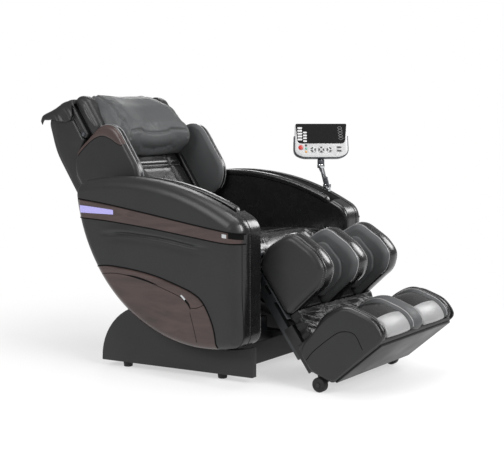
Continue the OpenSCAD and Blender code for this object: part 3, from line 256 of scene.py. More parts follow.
# moulded keys, dark silicone rubber and coloured ABS
darkKey = plasticFinish("darkKeyRubber", "#3c3c3c", "#333333", flow=12, skin=(0.6, 0.12), rough=(0.5, 0.6))
redKey = plasticFinish("redKey", "#bb332d", "#ab2c27", flow=10, skin=(0.8, 0.05), rough=(0.28, 0.34))
greenKey = plasticFinish("greenKey", "#54a592", "#4a9a86", flow=10, skin=(0.8, 0.05), rough=(0.28, 0.34))
amberKey = plasticFinish("amberKey", "#d49f58", "#c99149", flow=10, skin=(0.8, 0.05), rough=(0.28, 0.34))
# rubber of the kneading rollers, ABS of the boxes inside
rollerRubber = plasticFinish("rollerRubber", "#8d5c40", "#7a4d34", flow=20, skin=(1.0, 0.2),
                             rough=(0.55, 0.65))
boxAbs = plasticFinish("boxAbs", "#2b2e33", "#24272b", flow=40, skin=(0.8, 0.2), rough=(0.5, 0.6))
# epoxy powder coat on the frames and enamel on the motors, with their orange-peel skin
powderCoat = plasticFinish("blackPowderCoat", "#303234", "#282a2c", flow=60, skin=(2.2, 0.25),
                           rough=(0.38, 0.5))
motorPaint = plasticFinish("motorEnamel", "#4e5157", "#44474c", flow=40, skin=(1.8, 0.2), rough=(0.36, 0.46))
# ground steel, marks along the length of the rods
groundSteel = metalFinish("groundSteel", "#c4c7ca", "#a9adb1", mark=1.2, stretch=(1, 0.05, 1),
                          rough=(0.22, 0.34))
# satin chrome plate, also laid on the arms in small strips as painted highlights
chromeAndPaintedHighlight = metalFinish("chromeAndPaintedHighlight", "#d6d8da", "#c2c5c8", mark=2.0, stretch=(1, 1, 0.05),
                          rough=(0.12, 0.2))
# lit acrylic lens: lavender with the moulded prism ribs, 5 mm apart
litLens, tree, place = startMaterial("litPrismLens")
wave = {"Vector": place, "Scale": 628 / 5, "Distortion": 0.4, "Detail": 1.0}
ribs = addNode(tree, "ShaderNodeTexWave", wave, bands_direction="DIAGONAL").outputs[0]
glow = toneOf(tree, ribs, "#8983c2", "#a6a2cf")
shade(tree, {"Base Color": glow, "Emission Color": glow, "Emission Strength": 0.38, "Roughness": 0.25})
print("materials:", len(bpy.data.materials))


def meshPiece(name, points, faces, materials, faceMaterial=None, sharp=45):
    # points in metres; closed shapes are turned outwards
    mesh = bpy.data.meshes.new(name)
    mesh.from_pydata([tuple(p) for p in points], [], [tuple(f) for f in faces])
    for material in materials if isinstance(materials, list) else [materials]:
        mesh.materials.append(material)
    if faceMaterial is not None:
        mesh.polygons.foreach_set("material_index", np.asarray(faceMaterial, np.int32))
    work = bmesh.new()
    work.from_mesh(mesh)
    bmesh.ops.remove_doubles(work, verts=work.verts, dist=1e-6)
    bmesh.ops.recalc_face_normals(work, faces=work.faces)
    work.to_mesh(mesh)
    work.free()
    mesh.shade_smooth()
    mesh.set_sharp_from_angle(angle=math.radians(sharp))
    return addObject(name, mesh)


def settle(piece, body, stands=()):
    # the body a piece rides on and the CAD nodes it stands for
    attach(piece, body)
    if stands:
        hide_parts(*stands)
    return piece


def shapedMesh(piece):
    return bpy.data.meshes.new_from_object(piece.evaluated_get(bpy.context.evaluated_depsgraph_get()))


def bake(piece):
    # the piece's modifiers become its mesh
    piece.data = shapedMesh(piece)
    piece.modifiers.clear()
    return piece.data


def gridFaces(rows, n, closed=True, flip=False):
    # quads between rows of n points each
    at = np.arange(n if closed else n - 1)
    faces = []
    for j in range(rows - 1):
        a, b = j * n + at, j * n + (at + 1) % n
        faces += zip(a, a + n, b + n, b) if flip else zip(a, b, b + n, a + n)
    return faces


def runOf(points):
    return np.concatenate([[0], np.cumsum(np.linalg.norm(np.diff(points, axis=0), axis=1))])


def around(ring):
    return ring["run"][-1] + np.linalg.norm(ring["p"][0] - ring["p"][-1])


def runAt(ring, u, v):
    return ring["run"][np.linalg.norm(ring["p"] - [u, v], axis=1).argmin()]


def denseRing(points, normals, step):
    # fills long straight stretches of a closed outline with even steps
    p, n = [], []
    for a, b, m, k in zip(points, np.roll(points, -1, 0), normals, np.roll(normals, -1, 0)):
        count = max(1, int(np.linalg.norm(b - a) / step))
        for i in range(count):
            p.append(a + (b - a) * i / count)
            way = m + (k - m) * i / count
            n.append(way / np.linalg.norm(way))
    p, n = np.array(p), np.array(n)
    keep = np.linalg.norm(p - np.roll(p, 1, 0), axis=1) > 1e-6
    return {"p": p[keep], "n": n[keep], "run": runOf(p[keep])}


def roundedRing(corners, step=6.0):
    # closed outline through rounded corners (u, v, radius), anticlockwise, with outward normals
    points, normals = [], []
    m = len(corners)
    for i in range(m):
        before, at, after = (np.array(corners[k % m][:2], float) for k in (i - 1, i, i + 1))
        e1 = (at - before) / np.linalg.norm(at - before)
        e2 = (after - at) / np.linalg.norm(after - at)
        n1, n2 = np.array([e1[1], -e1[0]]), np.array([e2[1], -e2[0]])
        turn = math.atan2(e1[0] * e2[1] - e1[1] * e2[0], e1 @ e2)
        r = math.copysign(corners[i][2], turn)
        centre = at - (n1 + n2) * r / (1 + n1 @ n2)
        count = max(4, int(abs(turn * r) / step * 1.3))
        start = math.atan2(n1[1], n1[0])
        for k in range(count + 1):
            way = np.array([math.cos(start + turn * k / count), math.sin(start + turn * k / count)])
            points.append(centre + r * way)
            normals.append(way)
    return denseRing(np.array(points), np.array(normals), step)


def softRing(corners, step=5.0, reach=14.0):
    # the same outline with its corners eased into one flowing curve
    ring = roundedRing(corners, step)
    p = np.vstack([ring["p"], ring["p"][:1]])
    run = runOf(p)
    count = int(run[-1] / step)
    even = np.column_stack([np.interp(np.arange(count) * run[-1] / count, run, p[:, k]) for k in (0, 1)])
    spread = np.arange(-int(3 * reach / step), int(3 * reach / step) + 1)
    weight = np.exp(-0.5 * (spread * step / reach) ** 2)
    weight /= weight.sum()
    eased = sum(w * np.roll(even, -k, 0) for w, k in zip(weight, spread))
    eased = 2 * eased - sum(w * np.roll(eased, -k, 0) for w, k in zip(weight, spread))
    ahead = np.roll(eased, -1, 0) - np.roll(eased, 1, 0)
    ahead /= np.linalg.norm(ahead, axis=1)[:, None]
    return {"p": eased, "n": np.column_stack([ahead[:, 1], -ahead[:, 0]]), "run": runOf(eased)}


def smoothCurve(points, count):
    # even points on a smooth curve through the given ones
    p = np.array(points, float)
    run = runOf(p)
    ends = np.vstack([2 * p[0] - p[1], p, 2 * p[-1] - p[-2]])
    out = []
    for s in np.linspace(0, run[-1], count):
        i = min(np.searchsorted(run, s, side="right") - 1, len(p) - 2)
        t = (s - run[i]) / (run[i + 1] - run[i])
        a, b, c, d = ends[i:i + 4]
        bend = (2 * a - 5 * b + 4 * c - d) * t * t + (3 * b - a - 3 * c + d) * t ** 3
        out.append(0.5 * (2 * b + (c - a) * t + bend))
    return np.array(out)


def edgeStations(low, high, edgeLow, edgeHigh, between, count=7):
    # places across a pad: close together round its two edges
    turn = 1 - np.cos(np.linspace(0, math.pi / 2, count))
    return np.unique(np.round([*(low + edgeLow * turn), *between, *(high - edgeHigh * turn)], 3))


def edgeInset(x, low, high, edgeLow, edgeHigh):
    # how far a rounded edge draws the outline in at place x
    inset = 0.0
    if x < low + edgeLow:
        inset = edgeLow - math.sqrt(max(edgeLow ** 2 - (low + edgeLow - x) ** 2, 0))
    if x > high - edgeHigh:
        inset = edgeHigh - math.sqrt(max(edgeHigh ** 2 - (x - high + edgeHigh) ** 2, 0))
    return inset


def loftPad(name, ring, xs, insetAt, place, materials, crown=(0.0, 0.0), faceRings=8, lookAt=None,
            faceShape=None, mirror=1):
    # closed pad over rings across the chair; each end face is filled and crowned
    n = len(ring["p"])
    rows = []
    for x in xs:
        inset = np.broadcast_to(insetAt(x), (n,))
        rows.append(np.column_stack([np.full(n, x), ring["p"] - ring["n"] * inset[:, None]]))
    ends = []
    for edge, bulge in ((rows[0], -crown[0]), (rows[-1], crown[1])):
        middle, end = edge.mean(0), []
        for k in range(1, faceRings + 1):
            f = 1 - k / faceRings
            row = middle + (edge - middle) * f
            row[:, 0] = edge[0, 0] + bulge * (1 - f ** 2)
            end.append(row)
        ends.append(end)
    if faceShape:
        for row in ends[1]:
            row[:, 0] += faceShape(row)
    rows = ends[0][::-1] + rows + ends[1]
    kinds = None
    if lookAt:
        kinds = np.concatenate([lookAt((a + b) / 2) for a, b in zip(rows[:-1], rows[1:])])
    points = np.concatenate(rows) * [mirror, 1, 1]
    return meshPiece(name, toScene(points, place), gridFaces(len(rows), n), materials, kinds)


def roundedPad(name, ring, span, edges, between, place, materials, count=7, **more):
    # pad between two rounded edges
    low, high = span
    return loftPad(name, ring, edgeStations(low, high, *edges, between, count),
                   lambda x: edgeInset(x, low, high, *edges), place, materials, **more)


def seamedSkin(span, edges, between, seams, sewn):
    # stations and inset of a pad whose skin is drawn in along two seams and swells between them
    low, high = span
    middle, half = sum(seams) / 2, (seams[1] - seams[0]) / 2
    near = [m + d for m in seams for d in (-3.2, -2.0, -1.2, -0.5, 0, 0.5, 1.2, 2.0, 3.2)]

    def inset(x):
        bulge = sewn["bulge"] * max(0.0, 1 - ((x - middle) / half) ** 2)
        drawn = sum(sewn["deep"] * math.exp(-((x - m) / sewn["wide"]) ** 2) for m in seams)
        return edgeInset(x, low, high, *edges) - bulge + drawn

    return np.unique(np.round([*edgeStations(low, high, *edges, between, 9), *near], 3)), inset


def lineOn(ring, x, insetAt, lift, span, place, mirror=1):
    # line that runs on a pad's skin at place x, from one place of its outline to another
    start, end = span
    t = np.linspace(start, end, max(8, int(abs(end - start) / 5))) % around(ring)
    inset = np.broadcast_to(insetAt(x), (len(ring["p"]),))
    table = np.column_stack([ring["p"], ring["n"], inset])
    table = np.vstack([table, table[:1]])
    run = np.append(ring["run"], around(ring))
    u, v, m, n, inset = (np.interp(t, run, column) for column in table.T)
    sunk = (inset - lift) / np.hypot(m, n)
    return toScene(np.column_stack([np.full(len(t), x * mirror), u - m * sunk, v - n * sunk]), place)


def tubeMesh(name, path, radius, material, sides=8):
    # round cord or piping along points in metres
    path = np.array(path, float)
    ahead = np.gradient(path, axis=0)
    ahead /= np.linalg.norm(ahead, axis=1)[:, None]
    side = np.cross(ahead[0], [0.31, 0.22, 0.92])  # any way that no path runs
    turn = 2 * math.pi * np.arange(sides) / sides
    points = []
    for at, way in zip(path, ahead):
        side = side - way * (side @ way)
        side /= np.linalg.norm(side)
        circle = np.outer(np.cos(turn), side) + np.outer(np.sin(turn), np.cross(way, side))
        points += list(at + radius * circle)
    n = len(points)
    faces = gridFaces(len(path), sides) + [tuple(range(sides))[::-1], tuple(range(n - sides, n))]
    return meshPiece(name, points, faces, material)


def joinPieces(name, pieces):
    # several meshes of one body as one piece
    bpy.ops.object.select_all(action="DESELECT")
    for piece in pieces:
        piece.select_set(True)
    bpy.context.view_layer.objects.active = pieces[0]
    bpy.ops.object.join()
    pieces[0].name = name
    pieces[0].data.name = name
    return pieces[0]


# rows of stitches: a thread on every step of a seam line, in mm
stitchSet = {"spacing": 7.5, "long": 5.0, "thick": 0.65}
stitchTree = bpy.data.node_groups.new("stitchRow", "GeometryNodeTree")
stitchTree.interface.new_socket("Geometry", in_out="INPUT", socket_type="NodeSocketGeometry")
stitchSockets = {key: stitchTree.interface.new_socket(label, in_out="INPUT", socket_type="NodeSocketFloat")
                 for key, label in (("spacing", "Spacing"), ("long", "Stitch length"),
                                    ("thick", "Thread radius"))}
stitchTree.interface.new_socket("Geometry", in_out="OUTPUT", socket_type="NodeSocketGeometry")
seams, spacing, threadLong, threadThick = list(addNode(stitchTree, "NodeGroupInput").outputs)[:4]
seamCurve = addNode(stitchTree, "GeometryNodeMeshToCurve", {0: seams})
steps = addNode(stitchTree, "GeometryNodeResampleCurve", {"Curve": seamCurve.outputs[0], "Length": spacing},
                mode="LENGTH")
thread = addNode(stitchTree, "GeometryNodeMeshCylinder",
                 {"Vertices": 6, "Radius": threadThick, "Depth": threadLong}, fill_type="TRIANGLE_FAN")
tangent = addNode(stitchTree, "GeometryNodeInputTangent")
facing = addNode(stitchTree, "FunctionNodeAlignRotationToVector", {"Vector": tangent.outputs[0]}, axis="Z")
placed = addNode(stitchTree, "GeometryNodeInstanceOnPoints", {
    "Points": steps.outputs[0], "Instance": thread.outputs[0], "Rotation": facing.outputs[0]})
real = addNode(stitchTree, "GeometryNodeRealizeInstances", {0: placed.outputs[0]})
sewn = addNode(stitchTree, "GeometryNodeSetMaterial", {"Geometry": real.outputs[0], "Material": sewingThread})
addNode(stitchTree, "NodeGroupOutput", {0: sewn.outputs[0]})


def stitchRows(name, paths, body):
    # one piece of stitches along several seam lines of one body
    points, edges = [], []
    for path in paths:
        edges += [(len(points) + i, len(points) + i + 1) for i in range(len(path) - 1)]
        points += [tuple(p) for p in path]
    mesh = bpy.data.meshes.new(name + "Lines")
    mesh.from_pydata(points, edges, [])
    lines = addObject(name, mesh)
    modifier = lines.modifiers.new("stitches", "NODES")
    modifier.node_group = stitchTree
    for key, socket in stitchSockets.items():
        modifier[socket.identifier] = stitchSet[key] / 1000
    bake(lines).shade_smooth()
    return settle(lines, body)


def polishedCopy(node, name, bevelMm, material, sharp=38, segments=2):
    # a CAD solid with its hard edges rounded off
    mesh = frame["nodes"][node].data.copy()
    mesh.materials.clear()
    mesh.materials.append(material)
    work = bmesh.new()
    work.from_mesh(mesh)
    bmesh.ops.remove_doubles(work, verts=work.verts, dist=2e-5)
    bmesh.ops.dissolve_limit(work, angle_limit=math.radians(1.2), verts=work.verts, edges=work.edges)
    # flat faces that fold back on themselves become one face again
    work.normal_update()
    pairs = [(e, e.link_faces) for e in work.edges if len(e.link_faces) == 2]
    folded = [e for e, (one, two) in pairs if one.normal.dot(two.normal) < -0.999]
    bmesh.ops.dissolve_edges(work, edges=folded, use_verts=False)
    work.to_mesh(mesh)
    work.free()
    piece = addObject(name, mesh)
    bevel = piece.modifiers.new("bevel", "BEVEL")
    bevel.width, bevel.segments, bevel.limit_method = bevelMm / 1000, segments, "ANGLE"
    bevel.angle_limit = math.radians(sharp)
    bevel.miter_outer = "MITER_ARC"
    done = bake(piece)
    done.shade_smooth()
    done.set_sharp_from_angle(angle=math.radians(sharp))
    return settle(piece, bodyOf[node], [node])


# arms: one moulded skin each, with the band, the lens, the panel and the forearm pad let into it
armSet = {
    "out": 395, "in": 267, "front": -273, "lowRadius": 552, "tilt": (-102, 668), "crest": (225, -332),
    "crestRadius": 1000, "rearRound": 55, "frontRound": 60, "lowRound": 45, "edge": 30, "frontEdge": 54,
    "topEdge": 40, "innerEdge": 14, "groove": (295, 330), "grooveDeep": 55,
    "grooveEnds": ((-210, -196), (321, 335)), "lipDeep": 24, "step": 5.0, "outerRound": 60,
    "frontBand": 369, "seams": ((332.5, 0.1, (-760, 40), 0.0011), (369, -0.1, (-300, 95), 0.0010)),
    "stitchRun": (-760, 40), "stitches": 336.5, "blackFront": -195, "blackInner": 9,
    "stations": [288, 293.5, 294.4, 294.9, 295.4, 296, 298, 303, 312.5, 322, 327, 328.8, 329.6, 330.4,
                 331.4, 333, 335],
    "crease": [(335, 468), (224, 476), (160, 475), (74, 471), (1, 464), (-81, 454), (-167, 451)],
    "creaseDeep": 7.0, "creaseWide": 5.5, "creaseFade": ((-165, -60), (230, 335)), "roll": (2.6, 14, 12),
    "hollow": (1.2, -16, 14),
}


def crestAt(y):
    return armSet["crest"][1] + math.sqrt(armSet["crestRadius"] ** 2 - (y - armSet["crest"][0]) ** 2)


# handset lead, up the leaning pole from a curled stretch at its foot
leadSet = {"thick": 4.0, "curl": 7.0, "curls": 6, "pitch": 5.2, "curlFoot": 10, "drift": 0.3, "fine": 20,
           "foot": (339, -149), "glandHigh": 4, "start": [(0, 0, 0.3), (0, -0.4, 3), (0, -0.6, 6)],
           "bow": (-2, 4, 0), "collar": (-11.5, 0, -14.3), "pole": (352, -135), "poleLong": 96,
           "poleLean": 16.6}
poleX, poleY = leadSet["pole"]
poleFoot, poleLong, lean = crestAt(poleY), leadSet["poleLong"], math.radians(leadSet["poleLean"])
poleTop = [poleX, poleY + poleLong * math.sin(lean), poleFoot + poleLong * math.cos(lean)]
gland = np.array([*leadSet["foot"], poleFoot + leadSet["glandHigh"]])
leadPoints = [gland + step for step in leadSet["start"]]
curl, fine = leadSet["curl"], leadSet["fine"]
for t in np.arange(leadSet["curls"] * fine + 1) / fine:
    wind, rise = 2 * math.pi * t, leadSet["pitch"] * t
    leadPoints.append(gland + [curl * (math.cos(wind) - 1), curl * math.sin(wind) + rise * leadSet["drift"],
                               leadSet["curlFoot"] + rise])
curlTop, leadEnd = leadPoints[-1], np.add(poleTop, leadSet["collar"])
for t in np.linspace(0.12, 1, 14):
    bow = np.multiply(leadSet["bow"], math.sin(math.pi * t))
    leadPoints.append(curlTop + (leadEnd - curlTop) * t + bow)
leadPath = toScene(leadPoints)
lead = tubeMesh("handsetLead", leadPath, leadSet["thick"] / 2000, slateAbs, sides=10)
settle(lead, "seat", ["remote_lead"])


def heading(c, p):
    return math.degrees(math.atan2(p[1] - c[1], p[0] - c[0])) + 360


def armRing():
    # outline from arcs: front low corner, low sweep, rear corner, crest and front top corner
    s = armSet
    tilt, crest = np.array(s["tilt"], float), np.array(s["crest"], float)
    r1, r2 = s["lowRadius"] - s["rearRound"], s["crestRadius"] - s["rearRound"]
    span = np.linalg.norm(crest - tilt)
    u = (crest - tilt) / span
    along = (r1 ** 2 - r2 ** 2 + span ** 2) / (2 * span)
    rear = tilt + along * u + math.sqrt(r1 ** 2 - along ** 2) * np.array([-u[1], u[0]])
    topY, lowY = s["front"] + s["frontRound"], s["front"] + s["lowRound"]
    topR, lowR = s["crestRadius"] - s["frontRound"], s["lowRadius"] - s["lowRound"]
    top = np.array([topY, crest[1] + math.sqrt(topR ** 2 - (topY - crest[0]) ** 2)])
    low = np.array([lowY, tilt[1] - math.sqrt(lowR ** 2 - (lowY - tilt[0]) ** 2)])
    arcs = [
        (low, s["lowRound"], 180, heading(tilt, low)),
        (tilt, s["lowRadius"], heading(tilt, low), heading(tilt, rear)),
        (rear, s["rearRound"], heading(tilt, rear), heading(crest, rear)),
        (crest, s["crestRadius"], heading(crest, rear), heading(crest, top)),
        (top, s["frontRound"], heading(crest, top), 540),
    ]
    points, normals = [], []
    for centre, r, a0, a1 in arcs:
        count = max(6, int(abs(math.radians(a1 - a0)) * r / s["step"]))
        for a in np.radians(np.linspace(a0, a1, count + 1)):
            normals.append(np.array([math.cos(a), math.sin(a)]))
            points.append(centre + r * normals[-1])
    return denseRing(np.array(points), np.array(normals), s["step"])


arm = armRing()
armFacing = smoothStep(0.2, 0.95, -arm["n"][:, 0]) * (0.3 + 0.7 * smoothStep(180, 320, arm["p"][:, 1]))
armEdge = (armSet["edge"] + (armSet["frontEdge"] - armSet["edge"]) * armFacing
           + (armSet["topEdge"] - armSet["edge"]) * smoothStep(0.6, 0.95, arm["n"][:, 1]))
grooveFront, grooveRear = armSet["grooveEnds"]
armWindow = (smoothStep(0.3, 0.5, arm["n"][:, 1]) * smoothStep(*grooveFront, arm["p"][:, 0])
             * (1 - smoothStep(*grooveRear, arm["p"][:, 0])))
armStations = np.unique(np.round(np.concatenate([
    armSet["in"] + armSet["innerEdge"] * (1 - np.cos(np.linspace(0, math.pi / 2, 7))), armSet["stations"],
    armSet["out"] - armSet["outerRound"] * (1 - np.sin(np.linspace(0.06, math.pi / 2, 20)))]), 3))


def armInset(x):
    s = armSet
    over = x - (s["out"] - armEdge)
    inset = np.where(over > 0, armEdge - np.sqrt(np.maximum(armEdge ** 2 - over ** 2, 0)), 0)
    inset = np.maximum(inset, edgeInset(x, s["in"], s["out"], s["innerEdge"], 0))
    wall = smoothStep(s["groove"][0] - 0.6, s["groove"][0] + 0.8, x)
    outer = 1 - smoothStep(s["groove"][1] - 1.0, s["groove"][1] + 3.0, x)
    return np.maximum(inset, armWindow * (s["lipDeep"] * (1 - wall) + s["grooveDeep"] * wall * outer))


def skinAt(ring, edge, out, spots):
    # how far out a pad's outer face stands at points of its outline's plane
    q = np.asarray(spots, float)
    near = np.linalg.norm(q[:, None] - ring["p"][None], axis=2).argmin(1)
    depth = ((ring["p"][near] - q) * ring["n"][near]).sum(1)
    e = np.broadcast_to(edge, (len(ring["p"]),))[near]
    over = np.clip(e - depth, 0, e * 0.999)
    return out - (e - np.sqrt(e ** 2 - over ** 2))


def armSkin(spots):
    return skinAt(arm, armEdge, armSet["out"], spots)


def farFrom(line, q):
    # least distance from points to a polyline
    best = np.full(len(q), 1e9)
    for a, b in zip(line[:-1], line[1:]):
        t = np.clip(((q - a) @ (b - a)) / ((b - a) @ (b - a)), 0, 1)
        best = np.minimum(best, np.linalg.norm(q - (a + t[:, None] * (b - a)), axis=1))
    return best


def armCrease(row):
    # soft crease in the outer face, with a roll above it and a hollow below
    line = smoothCurve(armSet["crease"], 40)
    near = farFrom(line, row[:, 1:])
    over = row[:, 2] - np.interp(row[:, 1], line[::-1, 0], line[::-1, 1])
    front, rear = armSet["creaseFade"]
    fade = smoothStep(*front, row[:, 1]) * (1 - smoothStep(*rear, row[:, 1]))
    roll, hollow = (high * np.exp(-((over - at) / wide) ** 2)
                    for high, at, wide in (armSet["roll"], armSet["hollow"]))
    return fade * (-armSet["creaseDeep"] * np.exp(-(near / armSet["creaseWide"]) ** 2) + (roll - hollow))


def skinGrid(name, skin, low, high, shares, lifts, ends, material, side, place, flip):
    # thin moulding that follows a skin between two matching border lines
    points = []
    for share, lift in zip(shares, lifts):
        spots = low + (high - low) * share
        points.append(np.column_stack([(skin(spots) + np.minimum(lift, ends)) * side, spots]))
    faces = gridFaces(len(points), len(low), closed=False, flip=flip)
    return meshPiece(name, toScene(np.concatenate(points), place), faces, material)


def skinPatch(name, low, high, material, lift, side, rows=12, sunk=2.5):
    # the same on the arm's outer face, its border rounded and sunk into the skin
    shares = [0, 0.012, 0.035, *np.linspace(0.08, 0.92, rows), 0.965, 0.988, 1]
    border = [-sunk, 0.65 * lift, lift]
    ends = np.full(len(low), lift)
    ends[[0, -1]], ends[[1, -2]] = border[:2]
    lifts = border + [lift] * rows + border[::-1]
    return skinGrid(name, armSkin, low, high, shares, lifts, ends, material, side, "chair", side < 0)


def skinStrip(name, middle, half, material, lift, side, sunk=2.5):
    return skinPatch(name, middle - half, middle + half, material, lift, side, 4, sunk)


def skinLine(spots, radius, side, lift):
    points = np.column_stack([(armSkin(spots) + lift) * side, spots])
    return tubeMesh("line", toScene(points), radius / 1000, jointShade, sides=6)


# the band, its joints and its lens; at the band's front end the bevel entries place a painted highlight and
# the entries after them painted shade
bandSet = {
    "low": [(-271, 470.5), (-195, 473), (-81, 484), (98, 502), (288, 516), (425, 521)],
    "high": [(-271, 502.5), (-195, 511), (-82, 525), (97, 549), (287, 573), (424, 586)], "lift": 1.0,
    "joint": 2.4, "bevel": [(-203, 496), (-213, 495.4), (-224, 494.8)], "bevelHalf": 6.5, "bevelLift": 1.8,
    "paintedShadeEnd": [(-225.5, 498), (-247, 495.5), (-271, 492.8)], "paintedShadeEndHalf": 9.5, "paintedShadeEndLift": 1.5,
    "lensLow": [(255, 539), (330, 538.5), (419, 538)], "lensHigh": [(255, 555), (330, 560), (421, 565)],
    "lensLift": 1.9,
}
# side panel; its bevel entries place a painted highlight above the latch
panelSet = {
    "top": [(350, 352.5), (327, 357.5), (278, 362), (175, 357), (75, 344), (-21, 321), (-80, 303),
            (-120, 280), (-149, 240), (-171, 188), (-181, 130)],
    "lift": 1.6, "joint": 2.4, "fine": 1.3, "lowRun": (-181, 352), "lowBelow": 353, "lowIn": 2.0,
    "rim": [(318, 330), (291, 335), (226, 337.5), (125, 325), (39, 305), (-21, 288), (-40, 282)],
    "door": [(-74, 236), (-88, 192), (-103, 140)], "step": [(-76, 251), (-103, 254), (-134, 268)],
    "slot": [(223, 337.5), (150, 331.5), (57, 314)], "slotWide": 7.0,
    "latch": [(-44, 286), (-57, 273), (-69, 262), (-78, 244)], "latchHalf": 4.2, "latchWay": (-0.78, 0.63),
    "bevel": [(-34, 292), (-46, 284), (-56, 275)], "bevelHalf": (-2.6, 2.2),
}
forearmSet = {"run": (-201, 326), "middle": 281, "radius": 987.0, "half": (13.2, 11.4), "sink": 11.2,
              "steps": 90, "sides": 28, "puffs": 5, "puff": 0.05, "ends": 14, "tip": 0.12,
              "square": (0.55, 0.7)}


def armBands(side, tag):
    s = bandSet
    low, high = smoothCurve(s["low"], 150), smoothCurve(s["high"], 150)
    band = skinPatch("band" + tag, low, high, brownLacquerPaintedReflection, s["lift"], side)
    settle(band, "seat", ["arm_bands"])
    border = [skinLine(line, s["joint"], side, 0.2) for line in (low, high)]
    settle(joinPieces("bandJoints" + tag, border), "seat")
    # painted highlight, a bright satin chrome strip, and painted shade just before it, at the front end of
    # the band
    for key, name, finish in (("bevel", "bandPaintedHighlight", chromeAndPaintedHighlight), ("paintedShadeEnd", "bandPaintedShade", jointShade)):
        half = [0, s[key + "Half"]]
        patch = skinStrip(name + tag, smoothCurve(s[key], 14), half, finish, s[key + "Lift"], side)
        settle(patch, "seat")
    low, high = smoothCurve(s["lensLow"], 40), smoothCurve(s["lensHigh"], 40)
    lens = skinPatch("lens" + tag, low, high, litLens, s["lensLift"], side, 6)
    settle(lens, "seat", ["light_lenses"])


def sidePanel(side, tag):
    s = panelSet
    top = smoothCurve(s["top"], 120)
    y, z = arm["p"].T
    front, rear = s["lowRun"]
    lowArc = (arm["n"][:, 1] < 0) & (y > front) & (y < rear) & (z < s["lowBelow"])
    bottom = (arm["p"] - arm["n"] * s["lowIn"])[lowArc]
    bottom = smoothCurve(bottom[np.argsort(-bottom[:, 0])], 120)
    panel = skinPatch("sidePanel" + tag, bottom, top, brownLacquerPaintedReflection, s["lift"], side, 26)
    settle(panel, "seat", ["side_panels"])
    lines = [skinLine(top, s["joint"], side, 0.2)]
    for key in ("rim", "door", "step"):
        lines.append(skinLine(smoothCurve(s[key], 40), s["fine"], side, s["lift"] - 0.5))
    # the slot and the latch notch are flat patches of painted shade
    taper = np.sin(np.linspace(0.02, math.pi - 0.02, 40))[:, None] * s["slotWide"] / 2
    dark = s["lift"] + 0.35
    lines.append(skinStrip("slot", smoothCurve(s["slot"], 40), taper * [0, 1], jointShade, dark, side, 1.0))
    taper = np.sin(np.linspace(0.05, math.pi - 0.05, 30))[:, None] * s["latchHalf"]
    lines.append(skinStrip("latch", smoothCurve(s["latch"], 30), taper * s["latchWay"], jointShade, dark,
                           side, 1.0))
    settle(joinPieces("panelJoints" + tag, lines), "seat")
    # painted highlight above the latch: a bright satin chrome strip for the shine on a finger bevel
    bevel = smoothCurve(s["bevel"], 16)
    bright = skinStrip("latchPaintedHighlight" + tag, bevel, s["bevelHalf"], chromeAndPaintedHighlight, s["lift"] + 1.0, side)
    settle(bright, "seat")


def forearmPad(side, tag):
    # soft roll on the arm's inner lip
    s = forearmSet
    a0, a1 = (math.acos((y - armSet["crest"][0]) / armSet["crestRadius"]) for y in s["run"])
    points, steps, sides = [], s["steps"], s["sides"]
    for i in range(steps + 1):
        t = i / steps
        a = a0 + (a1 - a0) * t
        grow = min(1.0, (1 - abs(2 * t - 1)) * s["ends"]) ** 0.5 if 0 < i < steps else s["tip"]
        puff = 1 + s["puff"] * math.sin(t * math.pi * s["puffs"]) ** 2
        for k in range(sides):
            cx, cz = math.cos(2 * math.pi * k / sides), math.sin(2 * math.pi * k / sides)
            px = s["half"][0] * math.copysign(abs(cx) ** s["square"][0], cx) * grow
            pz = s["half"][1] * math.copysign(abs(cz) ** s["square"][1], cz) * grow * (puff if cz > 0 else 1)
            r = s["radius"] - s["sink"] * (1 - grow) + pz
            points.append(((s["middle"] + px) * side, armSet["crest"][0] + r * math.cos(a),
                           armSet["crest"][1] + r * math.sin(a)))
    ends = [tuple(range(sides)), tuple(range(steps * sides, (steps + 1) * sides))]
    faces = gridFaces(steps + 1, sides) + ends
    pad = meshPiece("forearmPad" + tag, toScene(points), faces, glossLeather, sharp=80)
    settle(pad, "seat", ["forearm_pads"])


def armLook(mid):
    # the groove, the front and the inner side are black leather, the rest satin vinyl
    groove = armSet["groove"]
    inGroove = (mid[:, 0] > groove[0] - 0.5) & (mid[:, 0] < groove[1] + 0.2) & (armWindow > 0.4)
    onFront = (arm["n"][:, 0] < -0.35) & (mid[:, 0] < armSet["frontBand"])
    onFront &= mid[:, 1] < armSet["blackFront"]
    return np.where(inGroove | onFront | (mid[:, 0] < armSet["in"] + armSet["blackInner"]), 1, 0)


for side, tag in bothSides:
    piece = loftPad("arm" + tag, arm, armStations, armInset, "chair", [matteLeather, glossLeather],
                    faceRings=80, lookAt=armLook, faceShape=armCrease, mirror=side)
    settle(piece, "seat", ["arm_" + tag.lower()])
    armBands(side, tag)
    sidePanel(side, tag)
    front = arm["run"][-1]
    seamLines = []
    for x, lift, run, thick in armSet["seams"]:
        line = lineOn(arm, x, armInset, lift, (front + run[0], front + run[1]), "chair", side)
        seamLines.append(tubeMesh("seam", line, thick, seamShade, sides=6))
    settle(joinPieces("armSeams" + tag, seamLines), "seat")
    run = armSet["stitchRun"]
    line = lineOn(arm, armSet["stitches"], armInset, 0.2, (front + run[0], front + run[1]), "chair", side)
    stitchRows("armStitches" + tag, [line], "seat")
    forearmPad(side, tag)
print("arms made")


def pointsOf(mesh):
    co = np.empty(len(mesh.vertices) * 3, np.float32)
    mesh.vertices.foreach_get("co", co)
    return co.reshape(-1, 3).astype(float)


def movePoints(mesh, co):
    mesh.vertices.foreach_set("co", co.astype(np.float32).ravel())
    mesh.update()


clothSet = {"quality": 4, "mass": 0.35, "stiff": 12, "bend": 0.6, "frames": 20}


